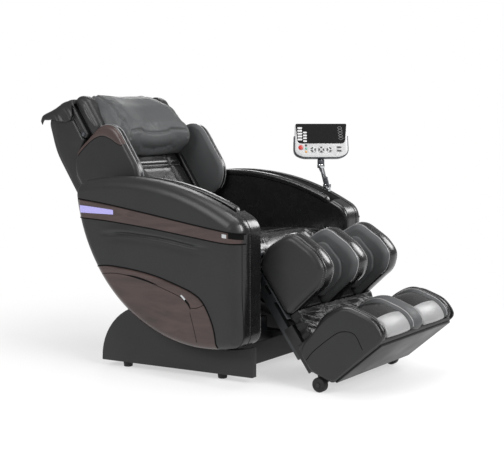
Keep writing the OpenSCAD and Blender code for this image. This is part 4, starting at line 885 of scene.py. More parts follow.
def swellPad(piece, spec, held):
    # leather drawn over foam: a short cloth simulation under light pressure, held where the test says
    remesh = piece.modifiers.new("remesh", "REMESH")
    remesh.mode, remesh.voxel_size, remesh.use_smooth_shade = "VOXEL", spec["voxel"] / 1000, True
    finish = piece.data.materials[0]
    skin = bake(piece)
    skin.materials.clear()
    skin.materials.append(finish)
    skin.polygons.foreach_set("material_index", np.zeros(len(skin.polygons), np.int32))
    start = pointsOf(skin)
    group = piece.vertex_groups.new(name="held")
    group.add([int(i) for i in np.nonzero(held(start))[0]], 1.0, "REPLACE")
    cloth = piece.modifiers.new("cloth", "CLOTH")
    settings = cloth.settings
    settings.quality, settings.mass = clothSet["quality"], clothSet["mass"]
    settings.tension_stiffness = settings.compression_stiffness = clothSet["stiff"]
    settings.bending_stiffness = clothSet["bend"]
    settings.use_pressure = True
    settings.uniform_pressure_force = spec["pressure"]
    settings.vertex_group_mass = "held"
    settings.effector_weights.gravity = 0
    cloth.point_cache.frame_start, cloth.point_cache.frame_end = 1, clothSet["frames"]
    for step in range(1, clothSet["frames"] + 1):
        scene.frame_set(step)
    move = pointsOf(shapedMesh(piece)) - start
    far = np.linalg.norm(move, axis=1)
    limit = spec["cap"] / 1000
    move *= np.where(far > limit, limit / np.maximum(far, 1e-9), 1)[:, None]
    piece.modifiers.clear()
    scene.frame_set(1)
    movePoints(skin, start + move)
    most = round(float(min(far.max(), limit)) * 1000, 1)
    print("swelled", piece.name, len(far), "points, most", most, "mm")
    piece.modifiers.new("finer", "SUBSURF").levels = 1
    bake(piece).shade_smooth()


def snapLine(piece, line, lift):
    # a line laid on a piece's skin, a little above it
    tree = BVHTree.FromPolygons([v.co for v in piece.data.vertices],
                                [p.vertices for p in piece.data.polygons])
    found = [tree.find_nearest(Vector(p)) for p in line]
    return np.array([np.array(at) + np.array(normal) * lift / 1000 for at, normal, face, far in found])


def sewPad(name, piece, lines, deep, wide, body, lift=0.2):
    # sewn channels: the skin drawn in along lines given in metres, with a row of stitches in each
    lines = [snapLine(piece, line, 0) for line in lines]
    co = pointsOf(piece.data)
    normals = np.empty(len(co) * 3, np.float32)
    piece.data.vertex_normals.foreach_get("vector", normals)
    near = np.min([farFrom(line, co) for line in lines], axis=0) * 1000
    ridge = 0.18 * np.exp(-((near - 2.3 * wide) / (1.2 * wide)) ** 2)
    fall = deep * (ridge - np.exp(-(near / wide) ** 2)) / 1000
    movePoints(piece.data, co + normals.reshape(-1, 3).astype(float) * fall[:, None])
    stitchRows(name, [snapLine(piece, line, lift) for line in lines], body)


# seat cushion between the arms
seatSet = {
    "ring": [(-206, 396.3, 26), (205, 396.3, 24), (205, 440, 24), (-206, 466, 32)], "half": 256.5, "edge": 22,
    "between": (-230, 230, 40), "voxel": 6.5, "pressure": 4.0, "cap": 11.0, "heldBelow": 402, "heldPast": 249,
    "channels": [((-150, -196, 470), (-150, 200, 446), 60), ((150, -196, 470), (150, 200, 446), 60),
                 ((-246, -104, 468), (246, -104, 468), 60)], "sewn": (7.0, 7.0),
}
half, edge = seatSet["half"], seatSet["edge"]
cushion = roundedPad("seatCushion", roundedRing(seatSet["ring"]), (-half, half), (edge, edge),
                     np.linspace(*seatSet["between"]), "chair", glossLeather)
past = seatSet["heldPast"]
heldLow, heldHigh = toScene([(x, 0, seatSet["heldBelow"]) for x in (-past, past)])


def seatHeld(co):
    return (co[:, 2] < heldLow[2]) | (co[:, 0] < heldLow[0]) | (co[:, 0] > heldHigh[0])


swellPad(cushion, seatSet, seatHeld)
lines = [toScene(np.linspace(*channel)) for channel in seatSet["channels"]]
sewPad("seatStitches", cushion, lines, *seatSet["sewn"], "seat")
settle(cushion, "seat", ["seat_cushion"])
print("seat made")

# back pad: a padded front between two bolsters, hollow behind for the carriage
padSet = {
    "half": 218.1, "inner": 187.1, "edge": 10, "bolsterEdges": (8, 14), "voxel": 6.5, "pressure": 3.5,
    "cap": 9.0, "ring": [(-148, 60, 18), (-105, 60, 14), (-105, 638, 14), (-148, 638, 18)], "held": 0.122,
    "bolster": [(-148, 60, 20), (-16.3, 60, 18), (-16.3, 638, 18), (-148, 638, 20)],
    "between": (-170, 170, 30), "bolsterBetween": (195.1, 203, 6), "sewn": (6.0, 7.0),
    "channels": [((-96, -152, 70), (-96, -152, 630), 90), ((96, -152, 70), (96, -152, 630), 90),
                 ((-180, -152, 170), (180, -152, 170), 60), ((-180, -152, 330), (180, -152, 330), 60)],
}
inner, edge = padSet["inner"], padSet["edge"]
backPad = roundedPad("backPad", roundedRing(padSet["ring"]), (-inner - 1, inner + 1), (edge, edge),
                     np.linspace(*padSet["between"]), "back", glossLeather)
padOrigin, padFront = toScene([(0, 0, 0), (0, -1, 0)], "back")
padNormal = (padFront - padOrigin) * 1000


def heldBehind(depth):
    return lambda co: (co - padOrigin) @ padNormal < depth


swellPad(backPad, padSet, heldBehind(padSet["held"]))
lines = [toScene(np.linspace(*channel), "back") for channel in padSet["channels"]]
sewPad("backPadStitches", backPad, lines, *padSet["sewn"], "back")
settle(backPad, "back", ["back_pad"])
ring = roundedRing(padSet["bolster"])
for side, tag in bothSides:
    bolster = roundedPad("backBolster" + tag, ring, (inner - 1, padSet["half"]), padSet["bolsterEdges"],
                         np.linspace(*padSet["bolsterBetween"]), "back", glossLeather, mirror=side)
    settle(bolster, "back", ["back_pad"])

# moulded rear shell
polishedCopy("back_shell", "backShell", 1.2, mouldedAbs, sharp=40)
print("back made")

# shoulder wings: charcoal inside, glazed between the pipings, satin outside, a brown cap at the front
wingSet = {
    "ring": [(-276, 178, 96), (-9, 172, 36), (-9, 458, 92), (-278, 476, 78)], "span": (218.4, 263.4),
    "edges": (15, 17), "between": (232, 248, 9), "seams": (233.0, 250.0),
    "sewn": {"deep": 2.6, "wide": 1.5, "bulge": 0.0}, "crown": (7.0, 1.2),
    "pipeEnds": ((-30, 440), (-200, 172)), "pipeLift": 1.7, "pipe": 0.0016, "joint": 0.0011, "jointDrop": 0.6,
    "capEnds": ((-58, 446), (-277, 350)), "capLift": 1.5,
    "capLow": [(-64, 444), (-90, 447), (-118, 449), (-166, 447), (-205, 433), (-230, 404), (-247, 372),
               (-262, 354)],
    "capShares": [0.0, 0.05, 0.12, 0.25, 0.4, 0.55, 0.7, 0.85, 0.95, 1.0],
    "capLifts": [-1.5, 0.8, 1.3, 1.5, 1.5, 1.5, 1.4, 1.2, 0.7, -1.5],
}
wing = softRing(wingSet["ring"], 5.0, 12.0)
wingStations, wingInset = seamedSkin(wingSet["span"], wingSet["edges"], np.linspace(*wingSet["between"]),
                                     wingSet["seams"], wingSet["sewn"])


def wingSkin(spots):
    return skinAt(wing, wingSet["edges"][1], wingSet["span"][1], spots)


def seamLook(seams):
    # one material before, between and after the seams
    return lambda mid: np.digitize(mid[:, 0], seams)


pipeStart, pipeEnd = (runAt(wing, *spot) for spot in wingSet["pipeEnds"])
pipeRun = (pipeStart, pipeEnd + wing["run"][-1])
capRuns = np.linspace(*sorted(runAt(wing, *spot) for spot in wingSet["capEnds"]), 120)
capEdge, capWay = (np.column_stack([np.interp(capRuns, wing["run"], line) for line in wing[key].T])
                   for key in "pn")
capTop = capEdge - capWay / np.linalg.norm(capWay, axis=1)[:, None]
capLow = smoothCurve(wingSet["capLow"], len(capRuns))
if np.linalg.norm(capLow[0] - capEdge[0]) > np.linalg.norm(capLow[-1] - capEdge[0]):
    capLow = capLow[::-1]
capEnds = np.full(len(capRuns), wingSet["capLift"])
capEnds[[0, -1]] *= -1
for side, tag in bothSides:
    piece = loftPad("wing" + tag, wing, wingStations, wingInset, "back",
                    [charcoalLeather, glossLeather, matteLeather], crown=wingSet["crown"], faceRings=16,
                    lookAt=seamLook(wingSet["seams"]), mirror=side)
    settle(piece, "back", ["wings"])
    lines = [lineOn(wing, m, wingInset, wingSet["pipeLift"], pipeRun, "back", side) for m in wingSet["seams"]]
    pipes = [tubeMesh("pipe", line, wingSet["pipe"], pipingPaintedHighlight) for line in lines]
    settle(joinPieces("wingPiping" + tag, pipes), "back")
    cap = skinGrid("wingCap" + tag, wingSkin, capTop, capLow, wingSet["capShares"], wingSet["capLifts"],
                   capEnds, brownSatin, side, "back", side > 0)
    settle(cap, "back", ["wing_trims"])
    spots = capLow - [0, wingSet["jointDrop"]]
    path = toScene(np.column_stack([wingSkin(spots) * side, spots]), "back")
    settle(tubeMesh("wingCapJoint" + tag, path, wingSet["joint"], jointShade, sides=6), "back")
print("wings made")

# head pillow: fuller at its sides, arched at the top
pillowSet = {
    "ring": [(-108, 381, 52), (0, 374, 14), (0, 666, 12), (-46, 616, 50), (-90, 542, 90), (-113, 440, 80)],
    "rear": -148.4, "half": 200, "edge": 34, "crown": 9, "voxel": 6.0, "pressure": 3.5, "cap": 9.0,
    "between": (-160, 160, 50), "held": 0.1564, "rearShare": 0.15, "fullness": (0.9, 0.1, 200, 0.22, 12),
    "archFrom": 505, "archTo": 666, "arch": 0.3, "archPower": 2.2, "sideSeams": (-168, 168),
    "cross": ((-166, -300, 408), (166, -300, 408), 60), "sewn": (3.6, 5.0),
    "seam": [(1, -258, 385), (1, -264, 440), (0.98, -240, 542), (0.88, -195, 616), (0.74, -155, 655)],
}
ring = roundedRing(pillowSet["ring"], 5.0)
half, edge = pillowSet["half"], pillowSet["edge"]
rows = []
full, wavy, swing, fall, power = pillowSet["fullness"]
drawnIn = np.where(ring["n"][:, 0] > 0.8, pillowSet["rearShare"], 1.0)
for x in edgeStations(-half, half, edge, edge, np.linspace(*pillowSet["between"]), 10):
    inset = edgeInset(x, -half, half, edge, edge) * drawnIn
    p = ring["p"] - ring["n"] * inset[:, None]
    t = abs(x) / half
    fullness = full - wavy * math.cos(math.radians(swing * t)) - fall * t ** power
    rows.append(np.column_stack([np.full(len(p), x), pillowSet["rear"] + p[:, 0] * fullness, p[:, 1]]))
caps = []
for edgeRow, bulge in ((rows[0], -pillowSet["crown"]), (rows[-1], pillowSet["crown"])):
    middle = edgeRow.mean(0)
    caps.append([middle + (edgeRow - middle) * f + [(1 - f * f) * bulge, 0, 0]
                 for f in (0.8, 0.6, 0.4, 0.2, 0.0)])
rows = caps[0][::-1] + rows + caps[1]
points = np.concatenate(rows)
archFrom, archTo = pillowSet["archFrom"], pillowSet["archTo"]
rise = np.clip((points[:, 2] - archFrom) / (archTo - archFrom), 0, 1)
points[:, 0] *= 1 - pillowSet["arch"] * rise ** pillowSet["archPower"]
pillow = meshPiece("headPillow", toScene(points, "back"), gridFaces(len(rows), len(ring["p"])),
                   charcoalLeather)
swellPad(pillow, pillowSet, heldBehind(pillowSet["held"]))
settle(pillow, "back", ["head_pillow"])
channels = [smoothCurve([(x * share, y, z) for share, y, z in pillowSet["seam"]], 60)
            for x in pillowSet["sideSeams"]]
channels.append(np.linspace(*pillowSet["cross"]))
lines = [toScene(line, "back") for line in channels]
sewPad("pillowStitches", pillow, lines, *pillowSet["sewn"], "back", 0.3)
print("pillow made")

# side of the back above the wing: cheek, stitched strip with its fastener, roll beside the pillow, all satin
cheekSet = {
    "cheek": {"span": (216, 241.6), "edge": 9, "bulge": 2.0, "ring": [
        (-103, 482, 14), (-58, 462, 30), (-4, 400, 20), (34, 400, 16), (34, 505, 120), (12, 572, 60),
        (-20, 636, 26), (-103, 630, 10)]},
    "strip": {"span": (212, 237.5), "edge": 5, "bulge": 1.0, "ring": [
        (-130, 486, 12), (-104, 486, 12), (-104, 632, 10), (-130, 632, 10)]},
    "roll": {"span": (186, 233), "edge": 22, "bulge": 5.0, "ring": [
        (-196, 470, 26), (-133, 470, 20), (-133, 642, 22), (-178, 634, 40), (-196, 600, 30)]},
}
stripSewn = {"out": 238.8, "rows": (-108.5, -125.5), "run": (496, 624, 30)}
studSet = {"at": (-112, 503), "profile": ((236, 7.5), (240.2, 7.5), (241.2, 6.4), (241.2, 0.01)), "sides": 24}
turn = 2 * math.pi * np.arange(studSet["sides"]) / studSet["sides"]
for side, tag in bothSides:
    for key, s in cheekSet.items():
        (low, high), edge = s["span"], s["edge"]
        pad = roundedPad("back" + key.title() + tag, softRing(s["ring"], 4.0, 6.0), s["span"], (6, edge),
                         np.linspace(low + 6, high - edge, 5), "back", matteLeather, 8,
                         crown=(0.0, s["bulge"]), faceRings=10, mirror=side)
        settle(pad, "back")
    rows = [toScene([(stripSewn["out"] * side, y, z) for z in np.linspace(*stripSewn["run"])], "back")
            for y in stripSewn["rows"]]
    stitchRows("backStripStitches" + tag, rows, "back")
    y, z = studSet["at"]
    disc = [(h * side, y + r * math.cos(t), z + r * math.sin(t)) for h, r in studSet["profile"] for t in turn]
    stud = meshPiece("backStud" + tag, toScene(disc, "back"), gridFaces(4, studSet["sides"]), slateAbs)
    settle(stud, "back")
print("back sides made")

# loose leather flap over the top of the back, hanging down at both sides
coverSet = {
    "line": [(-140, 622), (-137, 640), (-118, 648), (-98, 656), (-60, 661), (-24, 669), (4, 677), (20, 678),
             (33, 671)],
    "flat": 214, "bend": 16, "reach": 300, "columns": 141, "thick": 3.0, "fold": 3.5, "hang": (8, 52),
    "flare": 17, "ripple": 2.2, "hangFrom": (-136, -108), "hangTo": (-98, 14), "soften": 12, "lean": 0.12,
    "meanDrop": 30,
}
s = coverSet
line = smoothCurve(s["line"], 60)
points = []
for c in np.linspace(-s["reach"], s["reach"], s["columns"]):
    for k, (y, z) in enumerate(line):
        f = k / (len(line) - 1)
        hang = s["hang"][0] + s["hang"][1] * (1 - smoothStep(*s["hangTo"], y)) * smoothStep(*s["hangFrom"], y)
        limit = s["flat"] + s["bend"] * math.pi / 2 + hang
        reach = min(abs(c) * limit / s["reach"], limit)
        over = max(0.0, reach - s["flat"])
        turn = min(over / s["bend"], math.pi / 2)
        drop = max(0.0, over - s["bend"] * math.pi / 2)
        bent = smoothStep(0, s["soften"], over)
        x = min(reach, s["flat"]) + s["bend"] * math.sin(turn) + s["flare"] * bent
        ripple = math.sin(0.11 * y + 1.3) + 0.6 * math.sin(0.23 * y + 0.04 * drop)
        x += s["ripple"] * ripple * smoothStep(0, 30, drop)
        wave = s["fold"] * math.cos(c * 0.042 + 1.4 * f) * smoothStep(0.35, 1.0, f) * (1 - bent)
        height = z + wave - s["bend"] * (1 - math.cos(turn)) - drop
        points.append((math.copysign(x, c), y + s["lean"] * drop, height))
cover = meshPiece("headCover", toScene(points, "back"),
                  gridFaces(s["columns"], len(line), closed=False, flip=True), matteLeather, sharp=80)
solid = cover.modifiers.new("thick", "SOLIDIFY")
solid.thickness, solid.offset = s["thick"] / 1000, 0
bake(cover)
settle(cover, "back", ["head_cover"])

# calf walls: satin outside, a glazed band over the rim, charcoal inside, piping and stitches at the seams
calfSet = {
    "ring": [(22, -228, 20), (22, -34, 18), (-40, -2, 34), (-150, -12, 48), (-190, -112, 90),
             (-192, -172, 36), (-148, -209, 40)],
    "edge": 22, "side": (171, 256), "sideSeams": (186.0, 240.0), "middle": (-45, 45),
    "middleSeams": (-29.0, 29.0), "sewn": {"deep": 2.4, "wide": 1.5, "bulge": 5.0}, "pipeLift": 1.6,
    "pipe": 0.002, "stitchLift": 0.15, "stitchGap": 5, "lineEnds": ((22, -40), (-120, -214)),
    "sideCrown": (3.0, 1.2), "middleCrown": (3.0, 3.0),
}


def seamedWall(name, ring, wallSpan, edge, seams, looks, body, node, lineSpan, crown, pipes, stitches,
               mirror=1):
    low, high = wallSpan
    between = np.linspace(low + edge + 2, high - edge - 2, 8)
    stations, inset = seamedSkin(wallSpan, (edge, edge), between, seams, calfSet["sewn"])
    wall = loftPad(name, ring, stations, inset, "leg", looks, crown=crown, faceRings=14,
                   lookAt=seamLook(seams), mirror=mirror)
    settle(wall, body, [node])
    lines = [lineOn(ring, m, inset, calfSet["pipeLift"], lineSpan, "leg", mirror) for m in pipes]
    made = [tubeMesh("pipe", line, calfSet["pipe"], pipingPaintedHighlight) for line in lines]
    settle(joinPieces(name + "Piping", made), body)
    lines = [lineOn(ring, m, inset, calfSet["stitchLift"], lineSpan, "leg", mirror) for m in stitches]
    stitchRows(name + "Stitches", lines, body)


calf = softRing(calfSet["ring"], 5.0, 15.0)
calfSpan = tuple(runAt(calf, *spot) for spot in calfSet["lineEnds"])
sideLooks = [charcoalLeather, glossLeather, matteLeather]
gap = calfSet["stitchGap"]
for side, tag in bothSides:
    a, b = calfSet["sideSeams"]
    seamedWall("calfWall" + tag, calf, calfSet["side"], calfSet["edge"], (a, b), sideLooks, "legrest",
               "calf_wall_" + tag.lower(), calfSpan, calfSet["sideCrown"], (a,), (b - gap, b + gap, a + gap),
               side)
a, b = calfSet["middleSeams"]
seamedWall("calfWallMiddle", calf, calfSet["middle"], calfSet["edge"], (a, b),
           [charcoalLeather, glossLeather, charcoalLeather], "legrest", "calf_wall_middle", calfSpan,
           calfSet["middleCrown"], (a, b), (a + gap, b - gap))

# air bags that face the calves, and the pads behind them
bagSet = {
    "ring": [(2, -206, 22), (2, -52, 22), (-130, -42, 36), (-144, -146, 50), (-110, -186, 40)],
    "edges": (6, 6), "places": {"Inner": ((45.3, 59.3), (0.0, 9.0)), "Outer": ((156.7, 170.7), (9.0, 0.0))},
    "backing": [(-6, -224, 12), (22, -224, 12), (22, -34, 12), (-6, -44, 12)], "backingSpan": (60, 156),
    "backingEdges": (12, 12), "backingBetween": (74, 142, 10),
}
bag = roundedRing(bagSet["ring"], 5.0)
for side, tag in bothSides:
    for key, (span, crown) in bagSet["places"].items():
        between = np.linspace(span[0] + bagSet["edges"][0], span[1] - bagSet["edges"][1], 3)
        piece = roundedPad("calfBag" + tag + key, bag, span, bagSet["edges"], between, "leg", charcoalLeather,
                           crown=crown, faceRings=14, mirror=side)
        settle(piece, "legrest", ["calf_airbags"])
backing = roundedRing(bagSet["backing"], 5.0)
for side, tag in bothSides:
    piece = roundedPad("calfBacking" + tag, backing, bagSet["backingSpan"], bagSet["backingEdges"],
                       np.linspace(*bagSet["backingBetween"]), "leg", glossLeather, mirror=side)
    settle(piece, "legrest", ["calf_backing"])

# gaiter: slack leather sleeve, made here in one crumpled shape; the real one gathers and draws out as the
# footrest slides
gaiterSet = {
    "low": -321.4, "high": -228.6, "ring": [(-240, -21, 9), (240, -21, 9), (240, 22, 9), (-240, 22, 9)],
    "rows": 60, "seed": 11, "creases": 10, "lengths": (48, 190), "heights": (30, 72), "deep": 15.0,
    "sunk": 7.5, "bends": 7, "bend": 0.5, "slant": 0.05, "fade": 6, "shares": (0.5, 1.0), "heldTop": -232,
    "heldFoot": -318,
}
s = gaiterSet
loop = roundedRing(s["ring"], 4.0)
rng = np.random.default_rng(s["seed"])
total = around(loop)
creases = [(round(total / rng.uniform(*s["lengths"])) * math.pi / total,
            math.pi / rng.uniform(*s["heights"]) * rng.choice((-1, 1)), rng.uniform(0, 6.28),
            rng.uniform(*s["shares"]))
           for k in range(s["creases"])]
weight = sum(share for m, h, phase, share in creases)
points = []
for v in np.arange(s["rows"] + 1) / s["rows"]:
    z = s["low"] + (s["high"] - s["low"]) * v
    fade = min(1.0, s["fade"] * v, s["fade"] * (1 - v))
    bend = s["bend"] * np.sin(2 * math.pi * s["bends"] * loop["run"] / total + s["slant"] * z)
    ridge = sum(share * (1 - np.abs(np.sin(m * loop["run"] + h * z + phase + bend)))
                for m, h, phase, share in creases)
    p = loop["p"] + loop["n"] * (fade * (s["deep"] * ridge / weight - s["sunk"]))[:, None]
    points.append(np.column_stack([p, np.full(len(p), z)]))
n = len(loop["p"])
ends = [tuple(range(n))[::-1], tuple(range(s["rows"] * n, (s["rows"] + 1) * n))]
faces = gridFaces(s["rows"] + 1, n) + ends
gaiter = meshPiece("gaiterSleeve", toScene(np.concatenate(points), "leg"), faces, slackLeather, sharp=80)
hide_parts("gaiter")
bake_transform(gaiter)
print("legrest made")


soleSet = {"heel": (24, -486), "slope": 0.072}


def soleAt(y, lift):
    # height above the sloping sole
    heelY, heelZ = soleSet["heel"]
    return heelZ + (heelY - y) * soleSet["slope"] + lift


# footrest: shell, leather walls, toe covers and cheeks
footSet = {
    "walls": [(-242, soleAt(-240, 11), 18), (-14, soleAt(-14, 11), 18), (36.6, -412, 18), (36.6, -330, 20),
              (-20, -322, 30), (-84, -292, 60), (-176, -300, 70), (-250, -404, 90)],
    "wallEnds": ((30, -322), (-235, -455)), "edge": 20, "side": (200, 249.7), "sideSeams": (216.0, 237.7),
    "sideCrown": (3.0, 0.0), "middle": (-47, 47), "middleSeams": (-31.0, 31.0), "middleCrown": (2.0, 2.0),
    "covers": [(-234, soleAt(-234, 12), 8), (-214, soleAt(-214, 12), 8), (-196, -398, 20), (-120, -392, 18),
               (-112, -320, 26), (-180, -314, 60), (-246, -412, 70)],
    "cover": (47.3, 199.7), "coverEdges": (8, 8), "coverBetween": (58, 189, 26), "bulge": 7.0,
    "paleBelow": -386, "paleSlope": 0.055, "paleFrom": 200,
    "cheeks": [(-244, soleAt(-240, 3), 14), (-5, soleAt(-5, 2), 14), (43, -416, 18), (45, -350, 22),
               (22, -330, 40), (-96, -303, 120), (-184, -307, 70), (-251, -402, 90)],
    "cheek": (247, 258), "cheekEdges": (2, 8), "cheekBetween": [249.5], "cheekCrown": (0.0, 1.6),
    "seamOut": 262, "seam": 0.0011,
    "cheekSeam": [(35, -377), (-13, -367), (-105, -364), (-142, -374), (-168, -401), (-164, -452)],
}
polishedCopy("foot_shell", "footShell", 1.5, mouldedAbs, sharp=40)
wallRing = softRing(footSet["walls"], 5.0, 22.0)
wallStart, wallEnd = (runAt(wallRing, *spot) for spot in footSet["wallEnds"])
if wallEnd < wallStart:
    wallEnd += around(wallRing)
for side, tag in bothSides:
    a, b = footSet["sideSeams"]
    seamedWall("footWall" + tag, wallRing, footSet["side"], footSet["edge"], (a, b), sideLooks, "footrest",
               "foot_walls", (wallStart, wallEnd), footSet["sideCrown"], (a,), (a + gap, b - gap), side)
a, b = footSet["middleSeams"]
seamedWall("footWallMiddle", wallRing, footSet["middle"], footSet["edge"], (a, b), [charcoalLeather] * 3,
           "footrest", "foot_walls", (wallStart, wallEnd), footSet["middleCrown"], (a, b), (a + gap, b - gap))
coverRing = softRing(footSet["covers"], 4.0, 7.0)
coverFront = smoothStep(0.1, 0.7, -coverRing["n"][:, 0])


def toeLook(mid):
    # pale leather below a sloping line
    line = footSet["paleBelow"] + footSet["paleSlope"] * (-mid[:, 1] - footSet["paleFrom"])
    return np.where(mid[:, 2] < line, 1, 0)


def toeInset(x):
    low, high = footSet["cover"]
    bulge = footSet["bulge"] * (1 - ((x - (low + high) / 2) / ((high - low) / 2)) ** 2)
    return edgeInset(x, low, high, *footSet["coverEdges"]) - bulge * coverFront


toeStations = edgeStations(*footSet["cover"], *footSet["coverEdges"], np.linspace(*footSet["coverBetween"]))
for side, tag in bothSides:
    toe = loftPad("toeCover" + tag, coverRing, toeStations, toeInset, "leg", [glossLeather, paleLeather],
                  faceRings=6, lookAt=toeLook, mirror=side)
    settle(toe, "footrest", ["toe_covers"])
# padded satin cheeks over the sides of the shell, each with one curved seam
cheekRing = softRing(footSet["cheeks"], 5.0, 14.0)
cheekSeam = smoothCurve(footSet["cheekSeam"], 60)
for side, tag in bothSides:
    cheek = roundedPad("footCheek" + tag, cheekRing, footSet["cheek"], footSet["cheekEdges"],
                       footSet["cheekBetween"], "leg", matteLeather, crown=footSet["cheekCrown"],
                       faceRings=14, mirror=side)
    settle(cheek, "footrest")
    out = np.full(len(cheekSeam), footSet["seamOut"] * side)
    seam = snapLine(cheek, toScene(np.column_stack([out, cheekSeam]), "leg"), 0.2)
    line = tubeMesh("footCheekSeam" + tag, seam, footSet["seam"], seamShade, sides=6)
    settle(line, "footrest")
polishedCopy("sole_panel", "solePanel", 1.2, soleAbs)
print("footrest made")

# wheels, base and feet
for side, tag in bothSides:
    polishedCopy("wheel_" + tag.lower(), "wheel" + tag, 1.6, blackRubber)
polishedCopy("base_cover", "baseCover", 2.5, mouldedAbs)
polishedCopy("base_feet", "baseFeet", 1.0, blackRubber)
# CAD nodes behind the covers stay, in their real finishes
finishes = {
    powderCoat: ["base_frame", "seat_frame", "back_frame", "leg_frame", "carriage"],
    motorPaint: ["tilt_motor", "recline_motor", "leg_motor", "lift_motor"],
    groundSteel: ["tilt_rod", "recline_rod", "leg_rod", "lead_screw"],
    boxAbs: ["air_pump", "control_box", "power_inlet", "power_switch"],
    nylonBlock: ["runner_guides"],
    rollerRubber: ["knead_rollers"],
}
for finish, nodes in finishes.items():
    for node in nodes:
        frame["nodes"][node].data.materials.clear()
        frame["nodes"][node].data.materials.append(finish)
print("base and inner parts dressed")

# handset, its pole and its keys
polishedCopy("pole_socket", "poleSocket", 0.8, chromeAndPaintedHighlight)
polishedCopy("remote_pole", "handsetPole", 0.6, chromeAndPaintedHighlight)
polishedCopy("remote_cradle", "handsetCradle", 0.7, slateAbs)
polishedCopy("remote_body", "handsetBody", 1.6, silverAbs, segments=3)
keySet = {
    "power_key": (redKey, "red_key"), "heat_key": (darkKey, "dark_key"), "zone_key": (greenKey, "green_key"),
    "timer_key": (amberKey, "amber_key"), "left_pad": (silverAbs, "grey_key"),
    "centre_pad": (silverAbs, "grey_key"), "right_pad": (silverAbs, "grey_key"),
    "speed_rocker": (silverAbs, "grey_key"),
}


def keyName(node):
    return "handset" + node.title().replace("_", "")


for node, (finish, slot) in keySet.items():
    polishedCopy(node, keyName(node), 0.4, finish)


def facePlate(outline, front, rear, material, name="plate"):
    # flat plate on the handset's face: outline in its width and height, front and rear depths
    n = len(outline)
    points = [(x, depth, z) for depth in (front, rear) for x, z in outline]
    faces = [tuple(range(n)), tuple(range(2 * n - 1, n - 1, -1))] + gridFaces(2, n)
    return meshPiece(name, toScene(points, "handset"), faces, material, sharp=30)


def block(spot, half, radius):
    (x, z), (w, h) = spot, half
    corners = ((-1, -1), (1, -1), (1, 1), (-1, 1))
    return roundedRing([(x + i * w, z + j * h, radius) for i, j in corners], 1.0)["p"]


faceSet = {
    "window": [(-89, -11.5, 15), (89, -11.5, 15), (96.1, 63.1, 4), (-96.1, 63.1, 4)],
    "windowDepths": (-0.8, 9.0),
    "blocks": {(8.6, 3.5): [(-80.5, z) for z in (46.5, 36, 25.2, 14.6, 3.4)],
               (6.9, 3.2): [(-61.5, z) for z in (29.5, 18.7, 8.2, -2.8)]}, "ink": (-0.95, -0.6),
    "chain": {"middle": 75, "low": 2, "high": 52, "wide": 8.0, "links": 2.5, "slant": 5, "thick": 0.0007},
    "wedges": {"left_pad": ((-31, -35), 11, 38, (130, 230, 0)),
               "centre_pad": ((-1, -35), 12.5, 31, (0, 90, 180, 270)),
               "right_pad": ((29, -35), 11, 38, (50, 310, 180))}, "wedgeDepths": (-1.65, -1.2),
    "bars": [(67, -26.8), (67, -39.2)], "bar": (8.2, 3.4), "barDepths": (-1.62, -0.9),
}
window = facePlate(roundedRing(faceSet["window"], 2.0)["p"], *faceSet["windowDepths"], blackWindow,
                   "handsetWindow")
settle(window, "handset", ["remote_screen"])
prints = [facePlate(block(spot, half, 2), *faceSet["ink"], paleInk)
          for half, spots in faceSet["blocks"].items() for spot in spots]
chain = faceSet["chain"]
for way in (1, -1):
    t = np.linspace(0, 1, 60)
    x = chain["middle"] + way * chain["wide"] * np.sin(2 * math.pi * chain["links"] * t) - chain["slant"] * t
    z = chain["low"] + (chain["high"] - chain["low"]) * t
    path = np.column_stack([x, np.full(60, faceSet["ink"][0] + 0.5), z])
    prints.append(tubeMesh("chain", toScene(path, "handset"), chain["thick"], greyInk, sides=6))
settle(joinPieces("handsetPrint", prints), "handset")
for node, ((cx, cz), reach, half, turns) in faceSet["wedges"].items():
    marks = []
    for turn in turns:
        sweep = np.radians(np.linspace(turn - half, turn + half, 12))
        ring = [(cx + r * math.cos(t), cz + r * math.sin(t))
                for r, arc in ((reach - 1.2, sweep), (0.36 * reach, sweep[::-1])) for t in arc]
        marks.append(facePlate(ring, *faceSet["wedgeDepths"], darkKey))
    settle(joinPieces(keyName(node) + "Marks", marks), bodyOf[node])
marks = [facePlate(block(spot, faceSet["bar"], 1), *faceSet["barDepths"], darkKey)
         for spot in faceSet["bars"]]
settle(joinPieces("handsetSpeedRockerMarks", marks), bodyOf["speed_rocker"])
print("handset made")


def mathNode(tree, operation, a, b):
    return addNode(tree, "ShaderNodeMath", {0: a, 1: b}, operation=operation).outputs[0]


# white floor that keeps a soft shadow round the chair
floorSet = {"half": 9, "z": -0.0005, "fade": (0.9, 1.7), "bright": (0.55, 1.0)}
half, z = floorSet["half"], floorSet["z"]
floorMesh = bpy.data.meshes.new("floor")
corners = [(-half, -half, z), (half, -half, z), (half, half, z), (-half, half, z)]
floorMesh.from_pydata(corners, [], [(0, 1, 2, 3)])
addObject("floor", floorMesh)
paper, tree, place = startMaterial("whitePaperSweep")
shade(tree, {"Base Color": hexColour("#f2f2f2"), "Roughness": 0.9})
rays = addNode(tree, "ShaderNodeLightPath").outputs
seen = mathNode(tree, "MAXIMUM", rays["Is Camera Ray"], rays["Is Glossy Ray"])
seen = mathNode(tree, "MAXIMUM", seen, rays["Is Transmission Ray"])
reach = addNode(tree, "ShaderNodeVectorMath", {0: place}, operation="LENGTH").outputs["Value"]
nearest, farthest = floorSet["fade"]
fade = addNode(tree, "ShaderNodeMapRange", {"Value": reach, "From Min": nearest, "From Max": farthest},
               interpolation_type="SMOOTHSTEP").outputs[0]
least, most = floorSet["bright"]
bright = addNode(tree, "ShaderNodeMapRange", {"Value": fade, "To Min": least, "To Max": most}).outputs[0]
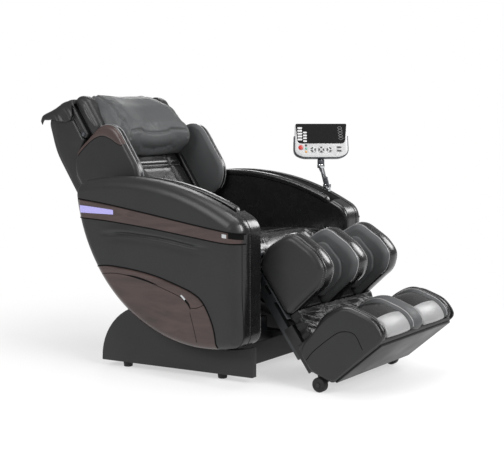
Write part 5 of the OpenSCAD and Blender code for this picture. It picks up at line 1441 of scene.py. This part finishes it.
white = addNode(tree, "ShaderNodeEmission", {"Color": (1, 1, 1, 1), "Strength": 1.0})
mixed = addNode(tree, "ShaderNodeMixShader", {
    0: mathNode(tree, "MULTIPLY", bright, seen), 1: tree.nodes["Principled BSDF"].outputs[0],
    2: white.outputs[0]})
tree.links.new(mixed.outputs[0], tree.nodes["Material Output"].inputs["Surface"])
floorMesh.materials.append(paper)

# white backdrop for the camera, a dim one for everything else
world = bpy.data.worlds.new("studio")
scene.world = world
world.use_nodes = True
tree = world.node_tree
rays = addNode(tree, "ShaderNodeLightPath").outputs
dim = addNode(tree, "ShaderNodeBackground", {"Color": (1, 1, 1, 1), "Strength": 0.3})
clear = addNode(tree, "ShaderNodeBackground", {"Color": (1, 1, 1, 1), "Strength": 1.0})
mixed = addNode(tree, "ShaderNodeMixShader", {
    0: mathNode(tree, "MAXIMUM", rays["Is Camera Ray"], rays["Is Transmission Ray"]), 1: dim.outputs[0],
    2: clear.outputs[0]})
tree.links.new(mixed.outputs[0], tree.nodes["World Output"].inputs["Surface"])

lampSet = [
    {"name": "frontBox", "at": (-0.9, -3.5, 2.4), "aim": (0, -0.3, 0.4), "size": 1.6, "watts": 105},
    {"name": "rightBox", "at": (2.6, -1.6, 2.2), "aim": (0, -0.4, 0.4), "size": 1.4, "watts": 55},
    {"name": "sideBox", "at": (-3.3, 0.9, 2.5), "aim": (0, 0.0, 0.5), "size": 1.8, "watts": 70},
    {"name": "topBox", "at": (-0.2, -0.4, 3.3), "aim": (0, -0.1, 0.3), "size": 1.8, "watts": 42},
    {"name": "rearBox", "at": (2.6, 2.2, 2.2), "aim": (0, 0.1, 0.6), "size": 1.4, "watts": 22},
]
for lamp in lampSet:
    data = bpy.data.lights.new(lamp["name"], "AREA")
    data.size, data.energy = lamp["size"], lamp["watts"]
    made = addObject(lamp["name"], data)
    made.location = lamp["at"]
    made.rotation_euler = (Vector(lamp["aim"]) - Vector(lamp["at"])).to_track_quat("-Z", "Y").to_euler()
